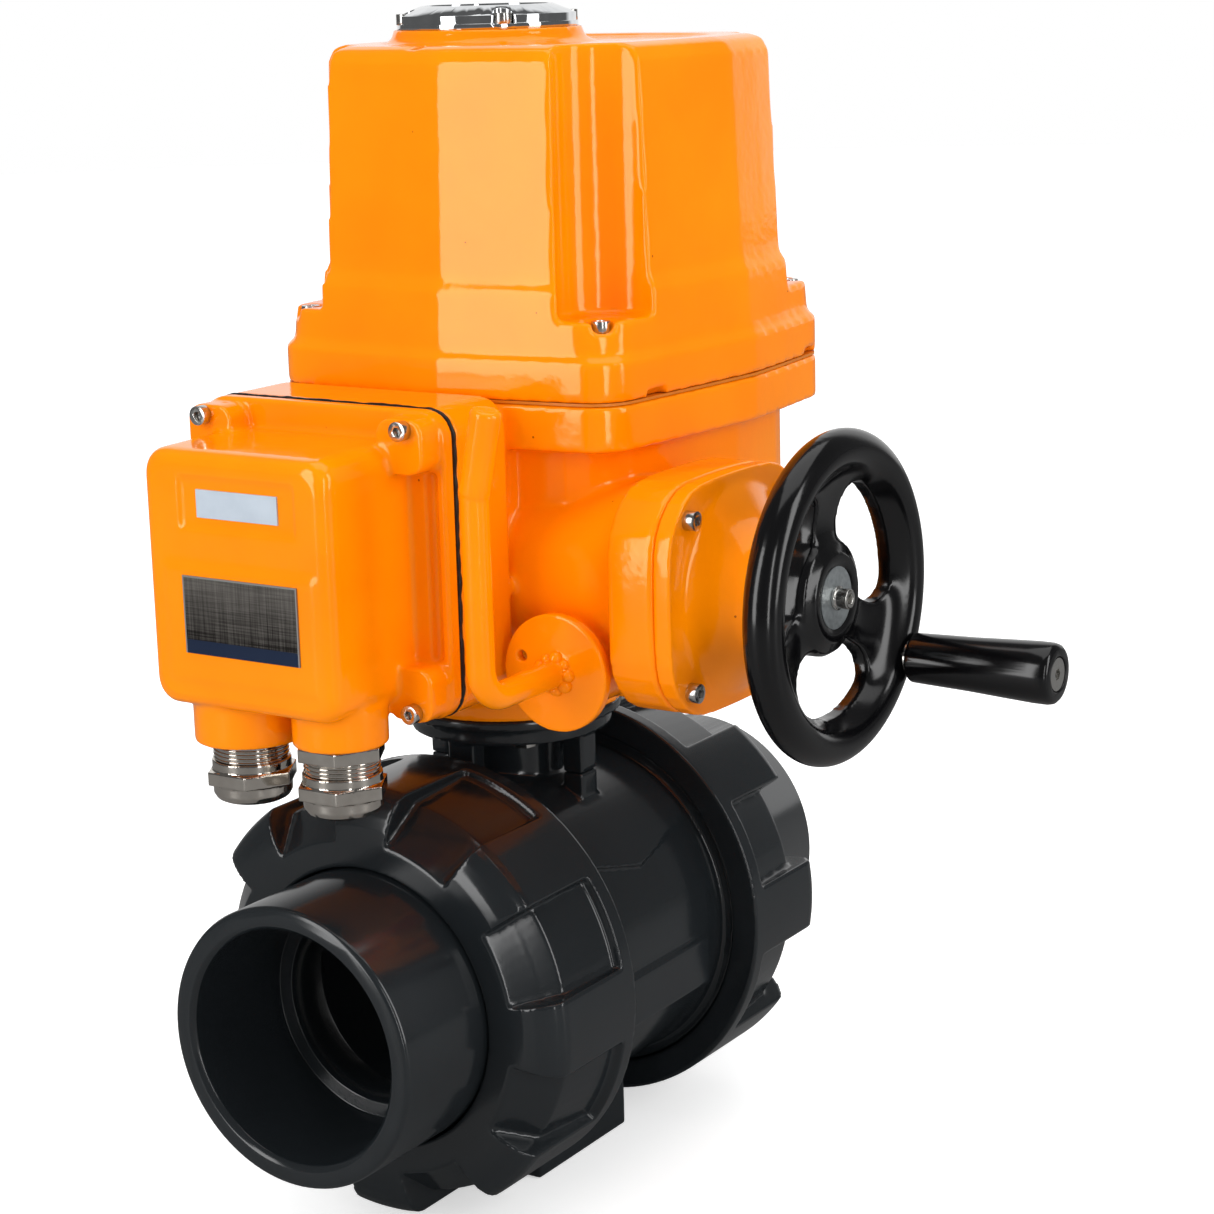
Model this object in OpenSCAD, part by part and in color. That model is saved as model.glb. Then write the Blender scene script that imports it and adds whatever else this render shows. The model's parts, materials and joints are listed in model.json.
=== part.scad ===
// Motorized valve actuator on a double-union ball valve, as separate pieces.
// Millimetres. The pipe runs along Y, the stem stands along Z, the foot rests on z = 0.
// The terminal box faces -Y and the handwheel faces +X.

/* [Valve] */
// bore of the two pipe sockets
pipe_d = 90; // [84:1:96]
// depth of each pipe socket
socket_depth = 51; // [42:1:56]
// wall of the pipe sockets
socket_wall = 9; // [7:0.5:11]
// wall of the valve barrel around the ball chamber
barrel_wall = 8; // [7:0.5:10]
// height of the union thread over the barrel
thread_h = 5; // [4:0.5:6]
// wall of the union nuts over the thread
nut_wall = 11.7; // [10:0.1:14]
// length of each end connector beyond its union nut
connector_reach = 48; // [40:1:56]
// width of the foot across the pipe
foot_w = 57; // [48:1:64]
// length of the foot along the pipe
foot_l = 64; // [56:1:68]
// height of the foot under the barrel
foot_h = 23; // [19:1:30]
// spacing of the threaded inserts under the foot
insert_pitch = 40; // [32:1:44]
// diameter of the valve stem
stem_d = 28; // [25:0.5:30]
// side of the stem and output squares
square_s = 16; // [14:0.5:17]

/* [Mounting bracket] */
// gap between the barrel and the bracket plate
leg_h = 20; // [19:1:30]
// thickness of the bracket plate
plate_t = 11; // [9:0.5:14]
// radius of the bracket plate
plate_r = 40; // [39:0.5:44]
// bolt circle of the actuator flange
flange_pcd = 50; // [49:0.5:52]

/* [Gear housing] */
// width of the housing flange between corners, along X
house_w = 151; // [148:1:160]
// depth of the housing flange between corners, along Y
house_d = 159; // [156:1:168]
// outward bow of the flange sides
house_bow = 8; // [6:0.5:10]
// height of the worm axis over the housing bottom
worm_rise = 64; // [62:0.5:68]
// height of the worm axis under the cover seam
worm_drop = 67; // [66:0.5:72]
// thickness of the housing flange
flange_t = 17; // [14:0.5:20]
// outer radius of the worm barrel
barrel_r_out = 33; // [32:0.5:35]
// half width of the neck flange that takes the gearbox cover
neck_half = 45; // [44:0.5:46]
// half height of the neck flange
neck_high = 39.5; // [39:0.5:42]
// corner radius of the neck flange
neck_round = 20; // [18:1:22]

/* [Top cover] */
// height of the domed cover over its seam
dome_h = 125; // [115:1:135]
// wall of the domed cover
dome_wall = 5; // [4:0.5:6]
// height of the screw ears on the cover
ear_h = 28.5; // [26:0.5:32]
// radius of the hollows that clear the cover screws
notch_r = 18.5; // [17:0.5:20]
// radius of the indicator window
window_r = 26.6; // [26:0.1:26.8]
// height of the indicator boss
boss_h = 5; // [4.5:0.5:8]
// height of the indicator bezel
bezel_h = 8.5; // [7.5:0.5:10]

/* [Terminal box] */
// width of the terminal box at its joint
box_w = 108; // [104:1:108]
// height of the terminal box at its joint
box_h = 111.5; // [108:0.5:112]
// reach of the box front beyond the joint gasket
box_reach = 52.5; // [46:0.5:60]
// wall of the terminal cover
box_wall = 4; // [3:0.5:5]
// spacing of the two cable glands
gland_pitch = 41.5; // [40:0.5:46]
// cable opening of each gland
gland_bore = 13; // [9:0.5:14]

/* [Handwheel and clutch] */
// outer diameter of the handwheel
wheel_d = 120; // [110:1:132]
// diameter of the handwheel rim
rim_d = 14.4; // [12:0.2:16]
// length of the revolving grip
grip_l = 57; // [46:1:66]
// height of the clutch lever over its axis
lever_h = 103; // [85:1:105]
// diameter of the lever rod
lever_d = 10; // [8:0.5:12]

/* [Clearances] */
// running clearance on a radius
run = 0.05; // [0.03:0.01:0.08]
// gap between faces that must not touch
gap = 0.3; // [0.2:0.05:0.5]

/* [Hidden] */
$fn = 48;
e = 0.5;

// valve chain, outward from the pipe bore
pass_r = pipe_d/2 - 6;
ball_r = pass_r + 18;
chamber_r = ball_r + 3;
barrel_r = chamber_r + barrel_wall;
thread_r = barrel_r + thread_h;
nut_in_r = thread_r + gap;
nut_r = nut_in_r + nut_wall;
conn_r = pipe_d/2 + socket_wall;
nut_hole_r = conn_r + 1;
collar_r = thread_r - 1;
seal_r = chamber_r + 6;
pipe_z = barrel_r + foot_h;

// valve chain along the pipe, from the stem outward
seat_in = ball_r*2/3;
seat_out = seat_in + 12;
body_half = seat_out + 30;
collar_in = body_half + gap;
collar_out = collar_in + 11.4;
nut_wall_in = collar_out + gap;
nut_face = nut_wall_in + 10;
nut_back = body_half - 34;
end_y = nut_face + connector_reach;

// heights up the stem
stem_r = stem_d/2;
ball_top = pipe_z + ball_r;
slot_floor = ball_top - 10;
collar_z = ball_top + 1;
barrel_top = pipe_z + barrel_r;
pad_z = barrel_top + 3.5;
plate_z = barrel_top + leg_h;
base_z = plate_z + plate_t;
leg_r = 32;
bolt_r = flange_pcd/2;
square_hole = square_s + 0.2;
coupling_r = 16;
stem_top = base_z + 7;
shaft_foot = stem_top + 2;

// housing heights
worm_z = base_z + worm_rise;
seam_z = worm_z + worm_drop;
flange_top = seam_z - 1;
floor_z = worm_z + 16;
worm_y = -40;
house_a = house_w/2;
house_b = house_d/2;
house_cx = house_a - 59;
house_cy = house_b - 64;
ridge_x = 0.06;
ridge_y = 0.13;
cover_screw_x = [house_cx - house_a + 10, house_cx + house_a - 10];
cover_screw_y = [house_cy - house_b + 10, house_cy + house_b - 10];
notch_x = [cover_screw_x[0] - 1, cover_screw_x[1] + 1];
notch_y = [cover_screw_y[0] + 4, cover_screw_y[1] - 4];

// worm drive
mod_w = 1.5;
wheel_teeth = 40;
wheel_pitch = mod_w*wheel_teeth/2;
worm_pitch = -worm_y - wheel_pitch;
worm_lead = PI*mod_w;
lead_angle = atan(worm_lead/(2*PI*worm_pitch));
tooth_half = 0.2*worm_lead;
journal_r = 12;
spur_x = 50;
spur_w = 10;
spur_teeth = 34;
pinion_teeth = 16;
spur_gap = mod_w*(spur_teeth + pinion_teeth)/2;
motor_x = -33;
motor_y = worm_y + 10;
motor_z = worm_z + sqrt(spur_gap*spur_gap - 100);
mesh_angle = atan2(motor_z - worm_z, motor_y - worm_y);
shaft_r = 8.5;
neck_x = 122;
cover_x = neck_x + 7;
cone_x = cover_x + 17;
hub_x = cone_x + 4;

// top cover
shoulder_z = 43;
ear_seat = seam_z + ear_h - 4;

// indicator
dome_top = seam_z + dome_h;
boss_top = dome_top + boss_h;
dial_z = boss_top - 4;
bezel_screw_r = 31.4;
bezel_seat = boss_top + 1.8;

// terminal box
box_top = base_z + 133.5;
box_zc = box_top - box_h/2;
box_foot = box_top - box_h;
box_y = -106;
cover_y = box_y - 1.5;
plate_y = cover_y - 6;
ear_y = plate_y - 10.5;
front_y = cover_y - box_reach;
panel_h = 0.7;
box_screw_x = box_w/2 - 9.3;
box_screw_z = box_h/2 - 5.25;
gland_y = plate_y - 23;

// handwheel
rim_r = rim_d/2;
rim_ring = wheel_d/2 - rim_r;
rim_x = hub_x + 18.7;
spoke_angles = [90, 210, 330];
spoke_half = 8.3;
web_in = 21.5;
web_out = rim_ring - rim_r - 2.1;
grip_angle = 325;
grip_x = rim_x + rim_r + 1.1;
grip_sink = 3;

// clutch
lever_x = 78.5;
lever_z = worm_z - 27.4;
lever_y = -81;
arm_r = 12.4;
groove_r = 12.5;
sleeve_r = 17;

valve_body();
ball_seats();
seat_carrier();
union_nut_front();
union_nut_rear();
end_connector_front();
end_connector_rear();
connector_o_rings();
ball();
valve_stem();
stem_seals();
stem_coupling();
mounting_bracket();
bracket_screws();
flange_bolts();
gear_housing();
housing_gasket();
top_cover();
cover_screws();
indicator_bezel();
indicator_window();
bezel_screws();
indicator_dial();
terminal_gasket();
terminal_cover();
terminal_cover_screws();
terminal_block();
gland_bodies();
gland_nuts();
gland_seals();
rating_plate();
name_plate();
gearbox_cover();
gearbox_cover_screws();
worm_bearing_inner();
worm_bearing_outer();
shaft_seal();
output_bearings();
bearing_plate();
inner_screws();
output_shaft();
worm_wheel();
worm_shaft();
worm_gear();
motor_case();
motor_rotor();
chassis_plate();
control_board();
capacitor();
limit_switches();
limit_cams();
handwheel();
handwheel_washer();
handwheel_bolt();
grip_spindle();
handle_grip();
clutch_sleeve();
clutch_lever();
lever_shaft();
lever_bush();

// placing helpers

// local Z along the pipe, outward on the side given by s (-1 front, +1 rear)
module along_pipe(s) {
    translate([0, 0, pipe_z])
        rotate([-90*s, 0, 0])
            children();
}

// local X to world Y, local Y to world Z, local Z to world X
module along_x(x, y, z) {
    translate([x, y, z])
        rotate([90, 0, 90])
            children();
}

// local Z to world -Y, local Y to world Z
module along_front(x, y, z) {
    translate([x, y, z])
        rotate([90, 0, 0])
            children();
}

module worm_axis(x) {
    along_x(x, worm_y, worm_z)
        children();
}

// shape helpers

// rounded rectangle of half sizes a and b with its sides bowed outward, always 44 points
function rounded(a, b, r) = [
    for (q = [0:3])
        let (
            c = q*90,
            sx = (q == 0 || q == 3) ? 1 : -1,
            sy = (q == 0 || q == 1) ? 1 : -1,
            nx = (q == 0 || q == 1) ? -1 : 1,
            p0 = [sx*(a - r), sy*(b - r)] + r*[cos(c + 90), sin(c + 90)],
            p1 = (q % 2 == 0) ? [nx*(a - r), p0[1]] : [p0[0], -sy*(b - r)]
        )
        each concat(
            [for (i = [0:5]) [sx*(a - r), sy*(b - r)] + r*[cos(c + 18*i), sin(c + 18*i)]],
            [for (i = [1:5]) p0 + (p1 - p0)*i/6])
];
// plain rounded rectangle, arcs only
function corners(a, b, r) = [
    for (q = [0:3])
        let (c = q*90, sx = (q == 0 || q == 3) ? 1 : -1, sy = (q < 2) ? 1 : -1)
        for (i = [0:5]) [sx*(a - r), sy*(b - r)] + r*[cos(c + 18*i), sin(c + 18*i)]
];
function bowed(a, b, r, bow) = [
    for (p = rounded(a, b, r))
        [p[0] + bow*p[0]/a*(1 - pow(p[1]/b, 2)), p[1] + bow*p[1]/b*(1 - pow(p[0]/a, 2))]
];
// push of a side at the share t of its half length, greatest at the ridge and falling to both ends
function ridge(t, at) = 1 - pow(t > at ? (t - at)/(1 - at) : (at - t)/(1 + at), 1.12);

// points of a straight side from p to q, with one where the ridge m lies and one halfway to each end
function side(p, q, m) = [(p + m)/2, m, (q + m)/2];

// rounded rectangle whose sides run out to a soft ridge, always 36 points
function peaked(a, b, r, bow) =
    let (
        u = ridge_x*a,
        v = ridge_y*b,
        c = corners(a, b, r),
        flat = concat(
            [for (i = [0:5]) c[i]], side([a - r, b], [r - a, b], [u, b]),
            [for (i = [6:11]) c[i]], side([-a, b - r], [-a, r - b], [-a, v]),
            [for (i = [12:17]) c[i]], side([r - a, -b], [a - r, -b], [u, -b]),
            [for (i = [18:23]) c[i]], side([a, r - b], [a, b - r], [a, v]))
    )
    [for (p = flat) [p[0] + bow*p[0]/a*ridge(p[1]/b, ridge_y), p[1] + bow*p[1]/b*ridge(p[0]/a, ridge_x)]];

// outline of the housing, drawn in by an inset
function outline(inset, r) = [
    for (p = peaked(house_a - inset, house_b - inset, r, house_bow)) p + [house_cx, house_cy]
];
function lift(points, z) = [for (p = points) [p[0], p[1], z]];

// closed skin through rings of equal point count
module loft(rings) {
    n = len(rings[0]);
    m = len(rings);
    polyhedron(
        points = [for (ring = rings) each ring],
        faces = concat(
            [[for (i = [0:n - 1]) i]],
            [for (j = [0:m - 2]) for (i = [0:n - 1])
                [j*n + i, (j + 1)*n + i, (j + 1)*n + (i + 1) % n, j*n + (i + 1) % n]],
            [[for (i = [0:n - 1]) m*n - 1 - i]]));
}

// ring with its axis on Z
module ring(r_in, r_out, h) {
    difference() {
        cylinder(h = h, r = r_out);
        translate([0, 0, -e])
            cylinder(h = h + 2*e, r = r_in);
    }
}

// ball bearing as one ring with its two sunk shields
module bearing(r_in, r_out, h) {
    m = (r_out - r_in)/4;
    difference() {
        ring(r_in, r_out, h);
        translate([0, 0, -e])
            ring(r_in + m, r_out - m, e + 0.6);
        translate([0, 0, h - 0.6])
            ring(r_in + m, r_out - m, e + 0.6);
    }
}

// socket head cap screw, the head standing on z = 0 and the shank below
module cap_screw(d, l) {
    difference() {
        union() {
            cylinder(h = d, r = 0.875*d);
            translate([0, 0, -l])
                cylinder(h = l + e, r = d/2);
        }
        translate([0, 0, 0.45*d])
            cylinder(h = d, r = 0.43*d, $fn = 6);
    }
}

module four(x, y) {
    for (sx = [-1, 1])
        for (sy = [-1, 1])
            translate([sx*x, sy*y, 0])
                children();
}

module at_cover_screws() {
    for (x = cover_screw_x)
        for (y = cover_screw_y)
            translate([x, y, 0])
                children();
}

module at_notches() {
    for (x = notch_x)
        for (y = notch_y)
            translate([x, y, 0])
                children();
}

module at_legs() {
    for (a = [0:90:270])
        rotate([0, 0, a])
            translate([leg_r, 0, 0])
                children();
}

module leg(z0, z1) {
    translate([-4.5, -5.75, z0])
        cube([9, 11.5, z1 - z0]);
}

module at_flange_bolts() {
    for (a = [45:90:315])
        rotate([0, 0, a])
            translate([bolt_r, 0, 0])
                children();
}

module at_box_screws(y) {
    along_front(0, y, box_zc)
        four(box_screw_x, box_screw_z)
            children();
}

// left gland at 0, right gland at 1
module at_gland(i, z) {
    translate([(i - 0.5)*gland_pitch, gland_y, z])
        children();
}

// half angle of a spur tooth at radius r
function inv(r, rb) = let (c = acos(min(1, rb/r))) tan(c)*180/PI - c;
function tooth_angle(n, r) =
    let (rp = mod_w*n/2, rb = rp*cos(20))
    90/n - 0.08/rp*180/PI + inv(rp, rb) - inv(max(r, rb), rb);
function tooth_radii(n) =
    let (rp = mod_w*n/2)
    [rp - 1.9, max(rp - 1.2, rp*cos(20)), rp - 0.3, rp + 0.6, rp + 1.35];
function spur_points(n) = [
    for (k = [0:n - 1]) each concat(
        [for (r = tooth_radii(n))
            let (t = k*360/n - tooth_angle(n, r)) r*[cos(t), sin(t)]],
        [for (i = [4:-1:0])
            let (r = tooth_radii(n)[i], t = k*360/n + tooth_angle(n, r)) r*[cos(t), sin(t)]])
];
module spur(n, h) {
    linear_extrude(h)
        polygon(spur_points(n));
}

// valve

module valve_body() {
    color("dimgray")
        difference() {
            union() {
                barrel();
                saddle();
                foot();
                cylinder_z(0, 0, barrel_top - 10, plate_z - gap, stem_r + 5);
                at_legs()
                    leg(pad_z - 20, pad_z);
            }
            along_pipe(1)
                translate([0, 0, -body_half - e])
                    cylinder(h = body_half + seat_out + e, r = chamber_r);
            along_pipe(1)
                cylinder(h = body_half + e, r = pass_r + 0.5);
            cylinder_z(0, 0, pipe_z, plate_z + e, stem_r + run);
            cylinder_z(0, 0, pipe_z, collar_z + 7, stem_r + 4 + gap);
            for (s = [-1, 1])
                cylinder_z(0, s*insert_pitch/2, -e, 14, 3.4);
            at_legs()
                cylinder_z(0, 0, pad_z - 9, pad_z + e, 2);
        }
}

module cylinder_z(x, y, z0, z1, r) {
    translate([x, y, z0])
        cylinder(h = z1 - z0, r = r);
}

module barrel() {
    for (s = [-1, 1])
        along_pipe(s) {
            translate([0, 0, -e])
                cylinder(h = seat_out + e, r = barrel_r);
            translate([0, 0, seat_out - 2])
                cylinder(h = body_half - seat_out + 2, r = thread_r);
        }
}

// raised seat for the bracket with a V-shaped lower edge, and the two bare side panels
module saddle() {
    low = pipe_z + barrel_r*0.53;
    intersection() {
        along_pipe(1)
            translate([0, 0, -nut_back + 4])
                cylinder(h = 2*nut_back - 8, r = barrel_r + 2.5);
        along_x(-barrel_r - 5, 0, 0)
            linear_extrude(2*barrel_r + 10)
                polygon([[-nut_back, low + 10], [0, low], [nut_back, low + 10],
                    [nut_back, barrel_top + 8], [-nut_back, barrel_top + 8]]);
    }
    translate([-barrel_r - 2, -nut_back + 12, pipe_z - 22])
        cube([2*barrel_r + 4, 2*nut_back - 24, 20]);
}

module foot() {
    translate([-foot_w/2, -foot_l/2, 0])
        cube([foot_w, foot_l, pipe_z - 20]);
}

module ball_seats() {
    color("ivory")
        for (s = [-1, 1])
            along_pipe(s)
                difference() {
                    translate([0, 0, seat_in])
                        ring(pass_r + 0.5, chamber_r - gap, seat_out - seat_in);
                    sphere(r = ball_r + gap);
                }
}

module seat_carrier() {
    color("dimgray")
        along_pipe(-1)
            translate([0, 0, seat_out])
                ring(pass_r + 0.5, chamber_r - gap, body_half - seat_out);
}

// union nut with eight sunk pockets around its rounded front
module union_nut(s) {
    face_r = nut_r - 18.5;
    color("dimgray")
        along_pipe(s)
            difference() {
                rotate_extrude()
                    polygon(concat(
                        [[nut_hole_r, nut_wall_in], [nut_hole_r, nut_face]],
                        [for (t = [0:15:90])
                            [face_r + 18.5*sin(t), nut_wall_in + 10*cos(t)]],
                        [[nut_r, nut_back], [nut_in_r, nut_back], [nut_in_r, nut_wall_in]]));
                for (k = [0:7])
                    rotate([0, 0, 22.5 + 45*k - 12.5])
                        rotate_extrude(angle = 25)
                            polygon([[face_r - 1.6, nut_face + 1],
                                [nut_r - 6, nut_face - 17], [nut_r - 3.5, nut_back + 8],
                                [nut_r + 5, nut_back + 8], [nut_r + 5, nut_face + 1]]);
            }
}

module union_nut_front() {
    union_nut(-1);
}

module union_nut_rear() {
    union_nut(1);
}

// socket connector with its collar, face seal groove and stepped bore
module end_connector(s) {
    shoulder = end_y - socket_depth;
    color("dimgray")
        along_pipe(s)
            rotate_extrude()
                polygon([
                    [pass_r, collar_in], [seal_r - 2.7, collar_in], [seal_r - 2.7, collar_in + 5],
                    [seal_r + 2.7, collar_in + 5], [seal_r + 2.7, collar_in], [collar_r, collar_in],
                    [collar_r, collar_out], [conn_r, collar_out], [conn_r, end_y - 2],
                    [conn_r - 0.6, end_y - 0.6], [conn_r - 2, end_y], [pipe_d/2 + 2, end_y],
                    [pipe_d/2, end_y - 2], [pipe_d/2, shoulder], [pass_r, shoulder]]);
}

module end_connector_front() {
    end_connector(-1);
}

module end_connector_rear() {
    end_connector(1);
}

module connector_o_rings() {
    color("black")
        for (s = [-1, 1])
            along_pipe(s)
                translate([0, 0, body_half + 2.5])
                    rotate_extrude()
                        translate([seal_r, 0])
                            circle(r = 2.4);
}

module ball() {
    color("gray")
        difference() {
            translate([0, 0, pipe_z])
                sphere(r = ball_r);
            along_pipe(1)
                translate([0, 0, -ball_r - e])
                    cylinder(h = 2*ball_r + 2*e, r = pass_r);
            translate([-6.1, -ball_r, slot_floor])
                cube([12.2, 2*ball_r, ball_r]);
        }
}

module valve_stem() {
    color("dimgray")
        difference() {
            union() {
                intersection() {
                    translate([-6, -stem_r - 4, slot_floor + gap])
                        cube([12, stem_d + 8, collar_z - slot_floor]);
                    cylinder_z(0, 0, slot_floor, collar_z + 2, stem_r + 3);
                }
                cylinder_z(0, 0, collar_z, collar_z + 6.5, stem_r + 4);
                cylinder_z(0, 0, collar_z, base_z - 10, stem_r);
                translate([-square_s/2, -square_s/2, base_z - 11])
                    cube([square_s, square_s, stem_top - base_z + 11]);
            }
            for (z = [11, 17])
                translate([0, 0, collar_z + z - 1.35])
                    ring(stem_r - 2.6, stem_r + 3, 2.7);
        }
}

module stem_seals() {
    color("black")
        for (z = [11, 17])
            translate([0, 0, collar_z + z])
                rotate_extrude()
                    translate([stem_r - 1.3, 0])
                        circle(r = 1.2);
}

module stem_coupling() {
    color("silver")
        difference() {
            cylinder_z(0, 0, base_z - 9, base_z + 26, coupling_r);
            translate([-square_hole/2, -square_hole/2, base_z - 10])
                cube([square_hole, square_hole, 37]);
        }
}

// mounting bracket

module mounting_bracket() {
    color("dimgray")
        difference() {
            union() {
                cylinder_z(0, 0, plate_z, base_z, plate_r);
                cylinder_z(0, 0, base_z - 4.5, base_z, plate_r + 4);
                at_legs()
                    leg(pad_z, plate_z + e);
            }
            cylinder_z(0, 0, plate_z - e, base_z + e, coupling_r + 1.5);
            at_legs() {
                cylinder_z(0, 0, pad_z - e, base_z, 2.1);
                cylinder_z(0, 0, base_z - 5, base_z + e, 3.8);
            }
            at_flange_bolts()
                cylinder_z(0, 0, plate_z - e, base_z + e, 3.2);
        }
}

module bracket_screws() {
    color("silver")
        at_legs()
            translate([0, 0, base_z - 5])
                cap_screw(4, base_z - 5 - pad_z + 8.5);
}

module flange_bolts() {
    color("silver")
        at_flange_bolts()
            translate([0, 0, plate_z])
                rotate([180, 0, 0])
                    union() {
                        cylinder(h = 4, r = 5.2, $fn = 6);
                        translate([0, 0, -plate_t - 12])
                            cylinder(h = plate_t + 12 + e, r = 3);
                    }
}

// gear housing

module gear_housing() {
    color("darkorange")
        difference() {
            union() {
                housing_shell();
                worm_barrel();
                terminal_base();
                lever_boss();
            }
            housing_cavity();
            worm_bores();
            lever_bores();
            terminal_cavity();
            at_cover_screws()
                cylinder_z(0, 0, flange_top - 12, flange_top + e, 2);
            at_flange_bolts()
                cylinder_z(0, 0, base_z - e, base_z + 13, 3);
        }
    color("darkorange")
        for (p = posts)
            difference() {
                cylinder_z(p[0], p[1], floor_z - e, seam_z + 3, 5);
                cylinder_z(p[0], p[1], seam_z - 8, seam_z + 4, 2);
            }
}

posts = [[60, 8], [60, 64], [-32, 64], [-40, 30]];

module housing_shell() {
    translate([0, 0, flange_top - flange_t])
        linear_extrude(flange_t)
            polygon(outline(0, 12));
    translate([0, 0, worm_z + 8])
        linear_extrude(flange_top - flange_t - worm_z - 8 + e)
            polygon(outline(8, 24));
    cylinder_z(0, 0, base_z, worm_z + 10, 45);
    translate([0, 0, base_z + 8])
        cylinder(h = 14, r1 = 45, r2 = 58);
    cylinder_z(0, 0, base_z + 22 - e, floor_z, 58);
}

module housing_cavity() {
    translate([0, 0, floor_z])
        linear_extrude(flange_top - floor_z + e)
            polygon(outline(15, 20));
    cylinder_z(0, 0, floor_z - 4, floor_z + e, 46);
    cylinder_z(0, 0, worm_z - 14, floor_z, 36);
    cylinder_z(0, 0, base_z + 28, worm_z, 24);
    cylinder_z(0, 0, base_z - e, worm_z, coupling_r + 1);
    for (a = plate_screw_angles)
        rotate([0, 0, a])
            cylinder_z(41, 0, floor_z - 14, floor_z, 2);
}

plate_screw_angles = [30, 90, 150];

// round barrel along the worm, flaring in an arc to the square neck
module worm_barrel() {
    start_x = -50;
    flare_x = 62;
    neck_back = neck_x - 19;
    l = neck_back + e - flare_x;
    d = neck_high + 1 - barrel_r_out;
    arc_r = (l*l + d*d)/(2*d);
    worm_axis(start_x)
        rotate_extrude()
            polygon(concat([[0, 0], [barrel_r_out, 0]],
                [for (i = [0:8]) let (s = l*i/8)
                    [barrel_r_out + arc_r - sqrt(arc_r*arc_r - s*s), flare_x - start_x + s]],
                [[0, neck_back + e - start_x]]));
    worm_axis(neck_back)
        linear_extrude(neck_x - neck_back)
            polygon(bowed(neck_half, neck_high, neck_round, 3));
}

module worm_bores() {
    worm_axis(-46)
        cylinder(h = 20, r = 12);
    worm_axis(-38)
        cylinder(h = 90, r = 13);
    worm_axis(spur_x - 6)
        cylinder(h = neck_x - spur_x + 6 + e, r = 28.5);
    worm_axis(neck_x - 14)
        four(neck_half - 9.7, neck_high - 8.7)
            cylinder(h = 14 + e, r = 2);
}

module lever_boss() {
    along_front(lever_x, -28, lever_z)
        cylinder(h = -28 - lever_y, r = 16);
    translate([lever_x - 20, -52, lever_z - 16])
        cube([40, 24, 22]);
}

module lever_bores() {
    along_front(lever_x, -48, lever_z)
        cylinder(h = -48 - lever_y + e, r = 9);
    along_front(lever_x, -30, lever_z)
        cylinder(h = 20, r = 6 + run);
    translate([lever_x - 12, -48, lever_z - 10])
        cube([24, 15, 26]);
}

module terminal_base() {
    along_front(0, -75, box_zc)
        linear_extrude(-75 - box_y)
            polygon(corners(box_w/2, box_h/2, 10));
    translate([-box_w/2 + 6, -76, box_zc - box_h/2 + 6])
        cube([box_w - 12, 16, box_h - 12]);
}

module terminal_cavity() {
    along_front(0, -80, box_zc)
        linear_extrude(-80 - box_y + e)
            polygon(corners(box_w/2 - 14, box_h/2 - 11, 5));
    along_front(-20, -40, worm_z + 46)
        cylinder(h = 41, r = 7);
    at_box_screws(box_y + 12)
        cylinder(h = 12 + e, r = 2);
}

module housing_gasket() {
    color("black")
        difference() {
            translate([0, 0, flange_top])
                linear_extrude(1)
                    polygon(outline(0.3, 12));
            difference() {
                translate([0, 0, flange_top - e])
                    linear_extrude(1 + 2*e)
                        polygon(outline(9, 16));
                at_cover_screws()
                    cylinder_z(0, 0, flange_top - 1, flange_top + 2, 7);
            }
            at_cover_screws()
                cylinder_z(0, 0, flange_top - 1, flange_top + 2, 2.2);
        }
}

// top cover

// height over the seam and inset of each ring of the cover, outside and inside
dome_rings = [[0, 0], [14.5, 0], [16, 2], [shoulder_z - 5, 3], [shoulder_z, 5.5], [dome_h - 6, 8.5],
    [dome_h - 1.5, 11], [dome_h, 15.5]];
dome_hollow = [[-e, 0], [shoulder_z - 7, 3], [shoulder_z - 1, 8], [dome_h - 13, 10.5],
    [dome_h - dome_wall, 16]];

module top_cover() {
    color("darkorange")
        difference() {
            union() {
                difference() {
                    loft([for (q = dome_rings) lift(outline(q[1], 12 + 0.6*q[1]), seam_z + q[0])]);
                    at_notches()
                        cylinder_z(0, 0, seam_z + ear_h, dome_top + e, notch_r);
                }
                cylinder_z(0, 0, dome_top - dome_wall, boss_top, 36);
                translate([0, 0, dome_top - dome_wall])
                    cylinder(h = dome_wall + 3, r1 = 40, r2 = 36);
            }
            difference() {
                loft([for (q = dome_hollow)
                    lift(outline(q[1] + dome_wall, 14 + 0.6*q[1]), seam_z + q[0])]);
                at_cover_screws()
                    cylinder_z(0, 0, seam_z - 1, dome_top, 12);
                at_notches()
                    cylinder_z(0, 0, seam_z + ear_h - dome_wall, dome_top, notch_r + dome_wall);
            }
            at_cover_screws()
                cylinder_z(0, 0, seam_z - e, seam_z + ear_h + e, 2.2);
            ear_pockets();
            cylinder_z(0, 0, dome_top - dome_wall - e, boss_top + e, window_r - 1.6);
            top_recess();
            at_bezel_screws()
                cylinder_z(0, 0, boss_top - 8, boss_top + e, 2);
            pry_slot(house_cx + house_a - 0.4, -37);
            pry_slot(house_cx + house_a - 1.2, 81);
        }
}

// seats of the cover screws, open towards the corners
module ear_pockets() {
    for (i = [0, 1])
        for (j = [0, 1])
            translate([cover_screw_x[i], cover_screw_y[j], ear_seat])
                rotate([0, 0, atan2(j - 0.5, i - 0.5)]) {
                    cylinder(h = 20, r = 4.2);
                    translate([0, -4.2, 0])
                        cube([24, 8.4, 20]);
                }
}

// slot for a flat blade in the lower edge of the cover
module pry_slot(x, y) {
    translate([x, y - 6, seam_z - e])
        cube([12, 12, 2.5 + e]);
}

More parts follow.
